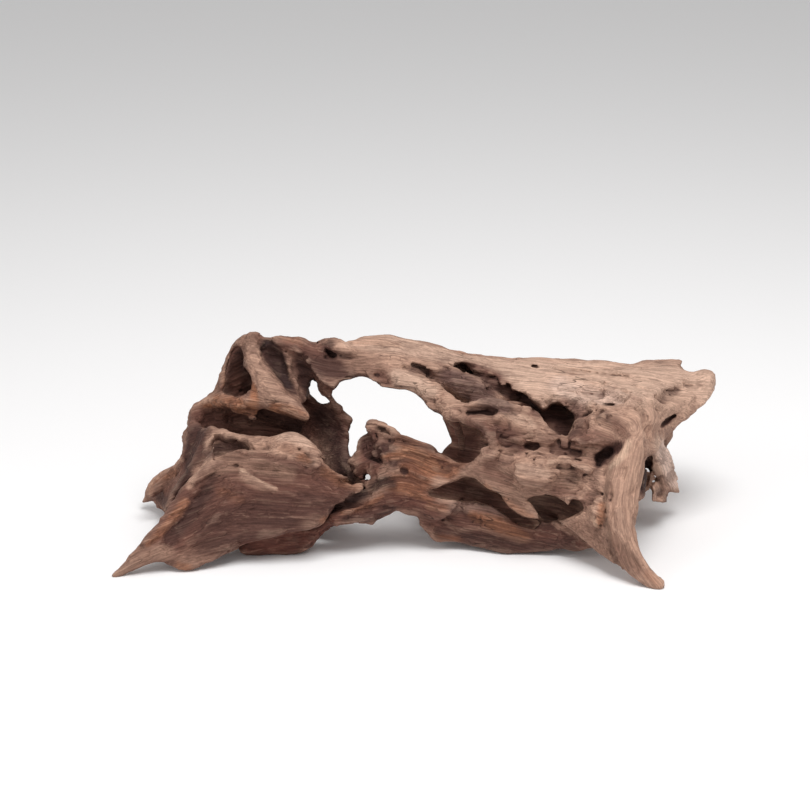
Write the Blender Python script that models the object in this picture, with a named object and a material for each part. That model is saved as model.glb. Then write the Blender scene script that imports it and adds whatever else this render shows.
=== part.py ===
"""A branch of weathered honeycomb driftwood, in metres, +Z up, resting on the floor at Z = 0.

The wood is carved as one solid: cores, plates and limbs are joined, then hollows, the window and
the channel are cut out of them. It is drawn on a ruled sheet as seen from the front and a little above.
"""

import math

import bpy
import numpy as np
import openvdb

GRID = 2.0  # sheet steps between the points of the carving grid
TRIANGLES = 11600
WOOD_COLOUR = (0.23, 0.14, 0.09, 1.0)
WOOD_ROUGHNESS = 0.82
LENGTH = 0.450  # from the tip of the left foot to the tip of the right horn
STEP = LENGTH / 630.8  # one step of the ruled sheet that the outlines are drawn on
VIEW_DISTANCE = 1.7  # the sheet is drawn as seen from this far off
VIEW_TILT = math.radians(20)  # and from this far above level
DEPTH_SCALE = 0.87  # true depth for each step of drawn depth
SHEET_MIDDLE = 405  # sheet column and row that the line of sight passes through
FLOOR_ROW = 590  # sheet row of the floor at depth 0
CENTRE_X, CENTRE_Y = 0.01345, 0.05965  # moves the middle of the footprint onto the origin
LOW, HIGH = (104, 322, -16), (726, 604, 282)  # corners of the block that is carved
FAR = 60.0
SEED = 11
FOOT_PRESS = 0.0004  # anything this near the floor is pressed flat onto it
PATH_STEP = 5.0  # how closely a smooth curve is followed
SHEET_BEND = 4.0  # how gently a plate's depth bends at each of its anchors
MOST_THICKENED = 2.2  # the most that a steep plate is thickened, so that it keeps its true thickness
PLATE_REACH = 25  # how far a plate's depth may run past its anchors
SAME_SURFACE = 30  # a bigger jump in depth than this is another surface

# Outlines: (column, row) on the sheet. Tables ending in _DEPTH hold (column, row, depth, thickness).
WINDOW = [
    (336, 391), (336.5, 386), (339, 381.5), (345, 379.5), (354, 378), (361, 378), (371, 381),
    (377, 383), (381, 387.5), (393, 389), (407, 391), (416.5, 394), (423, 401.5), (429.5, 410),
    (437, 411.5), (441.5, 414), (445, 419), (447.5, 424), (450, 431), (452.5, 437), (453.5, 440),
    (452.5, 444), (448, 447.5), (445.5, 450), (443, 453.5), (439, 453.5), (436, 451.5), (432, 446.5),
    (423, 442.5), (414, 439.5), (400, 434.5), (395, 429.5), (389, 425.5), (380, 421.5), (371, 418.5),
    (365, 421), (363, 426), (367, 433), (361, 437), (357, 444), (356, 451), (352, 455), (351, 454),
    (349.5, 441), (350.5, 431), (353, 423), (353, 418), (346.5, 413), (338.5, 404),
]
CRESCENT = [
    (313, 379), (316, 385.5), (320.5, 394), (326, 395), (329.5, 400.5), (329, 403.5), (325, 404.3),
    (317.5, 401), (310.5, 392), (309.5, 384),
]
THROUGH = [(340, 400, 140, 300), (440, 400, 140, 300), (400, 450, 140, 300)]

FAN = [
    (128, 565), (144, 545), (163, 521), (177, 501), (190, 486), (192, 478), (202, 466), (217, 458),
    (236, 450), (250, 449), (262, 451), (280, 447), (300, 448), (315, 455), (322, 463), (335, 474),
    (350, 482), (364, 485), (364, 489), (354, 496), (340, 503), (332, 512), (318, 527), (290, 533),
    (262, 539), (238, 547), (218, 558), (199, 568), (185, 571), (174, 568), (157, 561), (137, 566),
]
FAN_DEPTH = [
    (125, 571, 38, 8), (150, 553, 42, 15), (185, 568, 50, 14), (165, 524, 66, 14), (190, 490, 82, 16),
    (215, 520, 52, 18), (240, 545, 66, 16), (240, 455, 84, 18), (240, 490, 62, 20), (290, 470, 58, 22),
    (290, 520, 62, 18), (330, 505, 70, 18), (362, 488, 78, 14), (287, 450, 66, 22), (318, 462, 64, 18),
    (262, 452, 74, 18),
]
FOOT = [
    (114.5, 576.3, 36, 3.0), (126, 568, 39, 5.4), (138, 558.5, 43, 7.5), (155, 546, 50, 9),
    (180, 523, 62, 12), (205, 489, 74, 12),
]
LUMP = [
    (222, 520), (238, 547), (243, 554), (256, 555.5), (269, 554.5), (291, 554.5), (306, 550.5),
    (320, 535.5), (335, 525.5), (366, 519), (372, 522), (393, 511), (380, 495), (340, 490), (260, 490),
]
LUMP_DEPTH = [
    (243, 555, 94, 18), (300, 553, 98, 18), (330, 528, 108, 20), (300, 510, 92, 22), (250, 520, 90, 22),
    (370, 520, 100, 16), (385, 500, 96, 16),
]
LOBE = [
    (141.5, 503), (147, 488), (153, 478), (164, 470), (179, 463), (186, 449), (186.5, 435),
    (189.5, 423), (190.5, 412), (202, 402), (222, 398), (250, 400), (262, 420), (262, 460), (230, 500),
    (190, 520), (172, 515), (165, 512), (158, 507), (154, 500), (149, 501.5),
]
LOBE_DEPTH = [
    (143, 501, 226, 8), (156, 485, 214, 18), (165, 508, 205, 12), (178, 465, 196, 22),
    (187, 430, 196, 24), (195, 408, 190, 24), (225, 400, 184, 24), (246, 404, 200, 24),
    (262, 418, 222, 24), (262, 440, 216, 24), (250, 455, 196, 24), (200, 455, 172, 24),
    (190, 500, 150, 24), (230, 490, 130, 24),
]
WALL = [
    (195, 405), (250, 395), (300, 385), (312, 395), (322, 404), (333, 400), (345, 412), (353, 419),
    (350, 430), (348, 442), (350, 458), (356, 466), (368, 490), (350, 515), (300, 530), (240, 520),
    (200, 480), (190, 440),
]
WALL_DEPTH = [
    (200, 420, 205, 22), (250, 425, 222, 22), (300, 425, 215, 22), (340, 430, 182, 18),
    (352, 425, 170, 14), (320, 400, 178, 16), (300, 390, 190, 20), (345, 465, 150, 20),
    (365, 490, 120, 18), (300, 480, 190, 24), (230, 470, 200, 24), (300, 525, 160, 24),
]
CREST = [
    (214, 393), (219, 379), (222.5, 367), (226.5, 357), (231, 348.5), (236, 341.5), (242.5, 336),
    (250, 333), (256, 332.5), (260, 335), (263, 338), (271, 338.5), (280, 336), (288, 337), (298, 338),
    (303, 340), (308, 343.5), (314, 347), (319, 344.5), (325, 341.5), (334, 340.5), (345, 345),
    (352, 372), (340, 380), (333, 390), (330, 398), (322, 396), (314, 378), (310, 385), (306, 398),
    (301, 406), (308, 418), (306, 420), (298, 418), (289, 415), (273, 410), (261, 409), (257, 412),
    (256, 419), (248, 418), (232, 410), (216, 407), (204, 402),
]
CREST_DEPTH = [(210, 402, 178, 16), (222, 370, 172, 18), (237, 345, 166, 22), (256, 336, 156, 26),
               (290, 338, 158, 26), (320, 345, 158, 24), (340, 360, 150, 20), (330, 390, 150, 12),
               (250, 370, 150, 26), (255, 395, 140, 22), (285, 400, 132, 18), (304, 417, 118, 10),
               (300, 375, 158, 22), (275, 360, 160, 24), (254, 416, 138, 12), (230, 403, 155, 14),
               (312, 400, 170, 14)]
BEAM = [
    (300, 340), (314, 347), (319, 344), (325, 341), (334, 340), (345, 345), (352, 343), (360, 338),
    (376, 335.5), (390, 335.5), (405, 339.5), (430, 344), (450, 351), (466, 355.5), (480, 358),
    (500, 361.5), (520, 368), (512, 384), (502, 386), (492, 378), (480, 372), (462, 364), (452, 367),
    (440, 372), (436, 384), (450, 392), (460, 400), (470, 398), (500, 408), (500, 430), (460, 424),
    (452, 432), (444, 420), (440, 412), (434, 412), (430, 410), (423, 401), (416, 394), (407, 391),
    (393, 389), (381, 387), (377, 382), (361, 377), (345, 379), (334, 388), (320, 380), (305, 360),
]
BEAM_DEPTH = [
    (310, 350, 160, 26), (345, 350, 160, 28), (345, 375, 150, 20), (376, 340, 168, 24),
    (380, 375, 142, 20), (410, 345, 174, 24), (415, 390, 130, 18), (440, 408, 118, 16),
    (450, 355, 186, 24), (500, 364, 204, 24), (470, 366, 176, 20), (446, 395, 114, 16),
    (395, 365, 146, 26), (470, 405, 102, 18), (495, 420, 92, 18), (455, 425, 102, 12),
    (430, 370, 150, 20),
]
FACE = [
    (436, 384), (452, 394), (464, 404), (476, 400), (488, 399), (495, 401), (512, 406), (524, 405),
    (534, 412), (538, 422), (549, 428), (564, 439), (590, 430), (620, 420), (640, 440), (638, 500),
    (632, 520), (612, 540), (592, 520), (584, 505), (578, 500), (572, 499), (568, 505), (563, 500),
    (551, 495), (540, 495), (530, 499), (535, 510), (541, 519), (535, 520), (522, 516), (509, 507),
    (499, 494), (487, 488), (481, 483), (476, 478), (466, 476), (457, 479), (446, 485), (425, 490),
    (400, 500), (390, 480), (400, 440), (423, 444), (432, 448), (438, 454), (443, 455), (448, 448),
    (453, 440), (446, 420), (440, 410),
]
FACE_DEPTH = [
    (440, 400, 116, 14), (475, 403, 98, 18), (500, 405, 90, 18), (530, 412, 88, 16), (560, 437, 80, 18),
    (500, 440, 82, 22), (540, 450, 76, 22), (540, 475, 66, 22), (580, 460, 72, 24), (620, 430, 70, 26),
    (620, 490, 44, 26), (590, 500, 50, 22), (560, 497, 62, 18), (541, 518, 70, 8), (505, 495, 78, 12),
    (470, 468, 88, 18), (440, 475, 92, 18), (410, 470, 92, 20), (480, 460, 84, 20), (455, 425, 106, 12),
]
LINK = [
    (365, 424), (371, 419), (380, 421), (389, 425.5), (395, 429.5), (400, 434.5), (414, 439.5),
    (423, 442.5), (432, 446.5), (440, 454), (450, 470), (460, 500), (440, 520), (421, 515), (414, 511),
    (400, 509.5), (393, 509), (380, 515.5), (372, 523), (367, 521), (345, 522.5), (336, 526),
    (330, 520), (335, 512), (343, 505), (352, 500), (360, 494), (366, 488), (360, 482), (351, 470),
    (349, 460), (355, 452), (357, 445), (361, 438), (368, 433),
]
LINK_DEPTH = [
    (369, 424, 104, 12), (385, 430, 102, 18), (410, 445, 98, 22), (440, 462, 98, 20),
    (440, 500, 96, 24), (415, 480, 88, 26), (385, 465, 92, 24), (360, 455, 108, 16),
    (362, 480, 108, 16), (385, 500, 88, 22), (345, 515, 84, 18), (370, 520, 90, 12), (412, 511, 98, 16),
]
PLANK = [
    (405, 495), (425, 494), (440, 498), (458, 500), (481, 502), (500, 506), (520, 512), (545, 520),
    (580, 518), (605, 530), (600, 545), (592, 547.5), (578, 550.5), (560, 548), (545, 551), (520, 553),
    (502, 553), (484, 548), (452, 542), (436, 541), (428, 533), (420, 525), (419, 516), (405, 512),
]
PLANK_DEPTH = [
    (410, 503, 98, 20), (425, 530, 104, 16), (436, 540, 108, 14), (480, 545, 104, 14),
    (510, 552, 98, 14), (560, 547, 92, 16), (592, 545, 76, 16), (480, 515, 108, 24),
    (540, 528, 104, 26), (590, 525, 80, 24), (450, 505, 112, 24),
]
TABLE = [
    (500, 361), (512, 361.5), (527, 358.5), (571, 359.5), (607, 361.5), (632, 365.5), (643, 361),
    (661, 360.5), (679, 360), (682.5, 361), (679.5, 366), (689, 372), (704, 370.5), (712, 372),
    (715, 379), (713.5, 390), (706.5, 401), (694.5, 412.5), (680.5, 423), (667, 434), (660, 446),
    (650, 455), (620, 440), (590, 445), (566, 440), (574, 424), (560, 408), (543, 411), (532, 401),
    (523, 393), (512, 391), (502, 386), (495, 374),
]
TABLE_DEPTH = [
    (500, 364, 204, 24), (512, 388, 160, 20), (530, 395, 140, 20), (545, 410, 118, 18),
    (571, 365, 226, 24), (560, 385, 172, 26), (580, 405, 116, 24), (600, 400, 130, 28),
    (600, 425, 76, 24), (570, 438, 84, 20), (625, 440, 66, 24), (632, 370, 222, 26),
    (679, 364, 236, 22), (712, 380, 196, 24), (700, 400, 180, 22), (668, 436, 150, 18),
    (650, 450, 92, 20), (650, 400, 132, 28), (640, 420, 92, 26),
]
FLANGE = [(654, 440), (662, 443), (671, 456), (675.5, 472), (675.5, 481), (679, 492), (669.5, 491.5),
          (666.5, 496), (666, 502), (652.5, 501), (653.5, 492), (652, 486), (656, 478), (652, 462)]
FLANGE_DEPTH = [
    (655, 445, 120, 16), (667, 446, 150, 14), (675, 475, 186, 12), (653, 482, 156, 12),
    (679, 491, 196, 8), (665, 465, 160, 14), (655, 500, 150, 12), (666, 500, 170, 12),
]
LEG = [
    (600, 430), (640, 430), (645, 450), (642, 470), (636, 490), (631.5, 510), (633, 530), (635, 545),
    (638.5, 557), (648, 571), (658.5, 578.5), (663, 586), (661, 589.5), (656, 589.5), (646, 584.5),
    (624.5, 569), (612, 561.5), (600, 553.5), (591, 545.5), (577, 534), (565, 526), (552, 521),
    (562, 516), (580, 512), (592, 500), (600, 470),
]
LEG_DEPTH = [
    (620, 440, 66, 28), (640, 450, 74, 26), (618, 490, 44, 26), (636, 500, 50, 20), (556, 520, 74, 10),
    (578, 530, 62, 14), (594, 545, 52, 12), (600, 520, 46, 22), (620, 530, 34, 24), (634, 535, 34, 18),
    (622, 562, 26, 14), (640, 565, 18, 16), (655, 580, 8, 12), (661, 588, 5, 9),
]
STUMP = [(636, 470), (646, 470), (644.5, 489), (643, 498), (634, 499)]
STUMP_DEPTH = [(636, 480, 92, 22), (645, 480, 100, 18), (640, 498, 96, 18)]
BACK = [
    (420, 470), (640, 470), (636, 494), (612, 508), (585, 527), (556, 534), (520, 534), (490, 529),
    (470, 519), (436, 508), (420, 498),
]
BACK_DEPTH = [
    (430, 480, 165, 16), (630, 480, 205, 16), (500, 524, 160, 14), (560, 526, 158, 14),
    (540, 470, 180, 16), (610, 500, 190, 14),
]
TUNNEL_BACK = [
    (440, 408), (480, 406), (500, 430), (495, 462), (470, 472), (450, 470), (438, 458), (436, 440),
]
TUNNEL_BACK_DEPTH = [(442, 420, 172, 14), (490, 430, 176, 16), (460, 465, 160, 14), (442, 455, 156, 12)]
CHEEK = [
    (186, 437), (198, 430), (212, 431), (214, 450), (206, 470), (196, 487), (180, 503), (171, 512),
    (161, 504), (168, 483), (184, 463),
]
CHEEK_DEPTH = [
    (184, 440, 194, 14), (200, 434, 150, 14), (212, 434, 128, 12), (204, 452, 116, 12),
    (194, 484, 100, 12), (178, 462, 192, 14), (190, 462, 150, 14), (182, 480, 150, 14),
    (163, 500, 192, 12), (176, 500, 132, 12),
]
KNOB = [(514, 464), (533, 460), (553, 462), (564, 470.6), (554, 483), (538.6, 487), (517, 481)]
KNOB_DEPTH = [(514, 472, 60, 14), (540, 470, 54, 16), (562, 471, 58, 14), (540, 484, 56, 14)]

POCKET = [
    (237, 347), (243, 350), (245, 358), (244, 365), (250, 371), (254.5, 377), (255, 383),
    (251.5, 390.5), (244, 395.5), (233, 397.5), (225, 395), (222, 388), (224, 378), (228, 363),
    (232, 352),
]
POCKET_DEPTH = [(222, 390, 130, 100), (250, 385, 128, 100), (240, 350, 140, 80)]
TUNNEL = [
    (446, 419.5), (460, 420.5), (475, 427), (487, 438), (489, 444), (484, 450), (478, 458), (470, 463),
    (458, 463), (446, 456), (440, 451), (444, 440), (441, 428),
]
TUNNEL_DEPTH = [(450, 430, 96, 120), (480, 440, 96, 120), (460, 460, 92, 110)]
EYE_SLOT = [(468, 410.5, 85, 4), (476, 410, 85, 5), (486, 410, 84, 5), (494, 411.5, 83, 3.8)]
EYE_FLOOR = [(469, 413, 88, 3), (480, 413.5, 90, 3.5), (492, 413.5, 87, 3)]
TUNNEL_STRUT = [(452, 417, 112, 5), (457, 427, 120, 4), (461, 437, 134, 3.5), (462, 448, 150, 3)]
GAP = [
    (428, 489), (445.5, 484.6), (457, 479.5), (466, 476.4), (476, 477.6), (481, 483), (488, 488.5),
    (499, 494), (509, 508), (522, 516.5), (535, 520), (541, 523), (530, 532), (514, 522), (496.5, 509),
    (481, 502.5), (458, 501), (440, 499), (428, 496),
]
GAP_DEPTH = [(424, 490, 80, 120), (540, 525, 75, 120), (480, 480, 90, 120), (480, 505, 90, 120)]
CAVE = [
    (531, 499), (551, 495.5), (564, 501), (568, 506), (572, 500), (581, 504), (579, 512), (569, 518),
    (556, 521), (545, 521), (541, 517), (534, 508),
]
CAVE_DEPTH = [(531, 500, 70, 130), (580, 505, 60, 120), (556, 520, 80, 120)]
CHANNEL = [
    (446, 370), (452, 366.5), (462, 362.5), (483, 373), (491, 374.5), (495, 379), (501.6, 385),
    (510, 384), (512, 391), (523, 393), (532, 400.5), (543, 410), (552, 404), (561, 405), (570, 411),
    (575, 417), (573, 427), (569, 435), (564, 440), (549, 428.5), (538, 423), (534, 413), (524, 406),
    (512, 407), (495, 402.5), (488.5, 400.5), (476.6, 401), (464.7, 405.5), (457, 400.4), (450.6, 395),
    (442, 386), (440, 376),
]
CHANNEL_DEPTH = [(440, 380, 75, 140), (560, 420, 60, 160), (500, 380, 85, 150), (500, 420, 70, 140)]

# Round limbs of solid wood behind the faces: (column, row, depth, radius) along each.
CORES = {
    "behind the face": [(450, 400, 196, 20), (500, 415, 186, 36), (540, 432, 172, 46),
        (600, 430, 165, 48), (640, 425, 175, 34)],
    "root of the leg": [(600, 440, 110, 30), (610, 470, 90, 28), (618, 500, 60, 18)],
    "behind the fan": [(240, 430, 215, 26), (280, 460, 200, 30), (300, 480, 180, 26)],
    "behind the crest": [(231, 392, 198, 13), (244, 368, 196, 17), (262, 359, 188, 20),
        (300, 362, 184, 20), (330, 364, 172, 16)],
    "behind the pocket": [(240, 353, 200, 6), (245, 370, 205, 9), (249, 386, 202, 10)],
    "behind the channel": [(436, 372, 196, 14), (470, 380, 206, 20), (510, 388, 206, 24),
        (550, 400, 190, 24)],
    "low at the back": [(446, 470, 170, 20), (500, 478, 190, 24), (560, 480, 190, 24),
        (610, 480, 180, 20)],
    "back leg, middle": [(452, 480, 185, 14), (458, 496, 200, 12), (462, 514, 212, 10)],
    "back leg, right": [(560, 480, 200, 18), (600, 486, 222, 14), (617, 494, 238, 11),
        (622, 502, 244, 8.5)],
    "brow of the back": [(380, 354, 184, 11), (430, 365, 198, 13), (500, 381, 218, 15),
        (580, 384, 224, 16), (650, 388, 214, 14)],
    "behind the flange": [(640, 448, 140, 14), (643, 470, 150, 11), (641, 484, 150, 8.5)],
}

# Plates, joined in this order: outline, depths, how softly each joins, how softly its rim is rounded.
PLATES = [
    (BACK, BACK_DEPTH, 14, 6), (WALL, WALL_DEPTH, 10, 10), (LOBE, LOBE_DEPTH, 10, 8),
    (LUMP, LUMP_DEPTH, 8, 8), (FAN, FAN_DEPTH, 8, 10), (CREST, CREST_DEPTH, 10, 8),
    (BEAM, BEAM_DEPTH, 10, 8), (TABLE, TABLE_DEPTH, 10, 8), (FACE, FACE_DEPTH, 8, 6),
    (PLANK, PLANK_DEPTH, 6, 6), (LINK, LINK_DEPTH, 8, 6), (FLANGE, FLANGE_DEPTH, 5, 4),
    (LEG, LEG_DEPTH, 8, 6), (STUMP, STUMP_DEPTH, 4, 4), (TUNNEL_BACK, TUNNEL_BACK_DEPTH, 10, 6),
    (CHEEK, CHEEK_DEPTH, 10, 6),
]
LEG_SPINE = [
    (616, 500, 42, 15), (619, 530, 31, 15), (630, 556, 20, 10.5), (644.5, 574, 12, 7.5),
    (658, 584, 7, 4.5),
]
INNER_BRANCH = [
    (440, 376, 146, 10), (458, 384, 142, 13), (476, 392, 142, 14), (494, 401, 150, 11),
    (512, 409, 160, 9), (530, 416, 168, 8),
]
UPPER_STRAND = [(446, 371, 146, 5), (462, 376, 148, 6), (480, 386, 152, 6), (500, 396, 160, 6)]
LIP = [
    (211, 433, 126, 3.5), (222, 435, 118, 5), (238, 440, 106, 6), (256, 444, 92, 8), (275, 447, 78, 11),
    (290, 446, 68, 14), (303, 452, 62, 13), (311, 457, 60, 11),
]
LIP_END = [
    (211, 433, 126, 4), (207, 441, 118, 6), (202, 452, 112, 8), (200, 466, 104, 8), (192, 482, 96, 8),
]
NECK = [
    (324, 387, 156, 6), (328, 394, 158, 3.2), (331.7, 400, 160, 2.1), (333.2, 403.5, 163, 2.6),
    (338, 409, 168, 5),
]
PINHOLE = [(365, 480, 60, 3.4), (372, 473, 160, 3.6)]

# How softly each of these joins or cuts: limbs after the plates, limbs inside the channel, then the cut
# plates, whose last numbers are the rounding of the rim and how far the cut keeps inside its outline.
CORE_SOFTNESS, HOLLOW_SOFTNESS, HOLE_SOFTNESS = 18, 8, 2
OUTER_LIMBS = [(FOOT, 10), (LEG_SPINE, 8)]
INNER_LIMBS = [(INNER_BRANCH, 4), (UPPER_STRAND, 3), (LIP, 8), (LIP_END, 8)]
CHANNEL_CUT = (CHANNEL, CHANNEL_DEPTH, 4, 6)
KNOB_JOIN = (KNOB, KNOB_DEPTH, 3, 5)
POCKET_CUT = (POCKET, POCKET_DEPTH, 3, 6)
LOW_CUTS = [(GAP, GAP_DEPTH, 3, 6), (TUNNEL, TUNNEL_DEPTH, 3, 6), (CAVE, CAVE_DEPTH, 3, 6)]
STRUT_SOFTNESS, SLOT_SOFTNESS, NECK_SOFTNESS = 4, 1.5, 2
THROUGH_CUTS = [(WINDOW, THROUGH, 4, 6, 1.0), (CRESCENT, THROUGH, 3, 6, 0.5)]

# Hollows worn in from behind: (column, row, depth, radius) along each.
BACK_HOLLOWS = {
    "left hollow": [(262, 425, 262, 20), (268, 436, 236, 14), (276, 446, 214, 8)],
    "crest hollow": [(276, 366, 232, 17), (284, 372, 208, 10)],
    "beam scoop": [(400, 366, 214, 13), (440, 378, 222, 12)],
    "shoulder hollow": [(508, 410, 246, 18), (512, 414, 216, 11)],
    "middle hollow": [(566, 434, 238, 24), (560, 440, 208, 15), (552, 446, 178, 8)],
    "right hollow": [(628, 420, 232, 16), (622, 428, 200, 9)],
    "low hollow": [(528, 490, 232, 15), (534, 488, 206, 9)],
    "groove": [(470, 440, 214, 9), (500, 452, 224, 8), (540, 462, 222, 7)],
}
# Flutes and knots worn into the hidden sides.
FLUTE_DEPTH = 5.0
FLUTE_LENGTH, FLUTE_WIDTH = 64, 15
FLUTE_RIDGE = 0.6  # how much of each flute stands proud
WANDER, WANDER_LENGTH, WANDER_WIDTH = 6, 70, 40  # how far the flutes wander, and over what distance
KNOT_DEPTH = 0.45  # against the depth of a flute
KNOT_LENGTH, KNOT_WIDTH = 17, 11
KNOT_SHIFT = 9  # keeps the knots apart from the flutes
FLUTES_BEGIN, FLUTES_FULL = 12, 28  # distance behind the front where they begin, and then reach full depth
RIM_KEPT = 9  # nearer the outline than this the wood keeps its drawn edge

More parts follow.
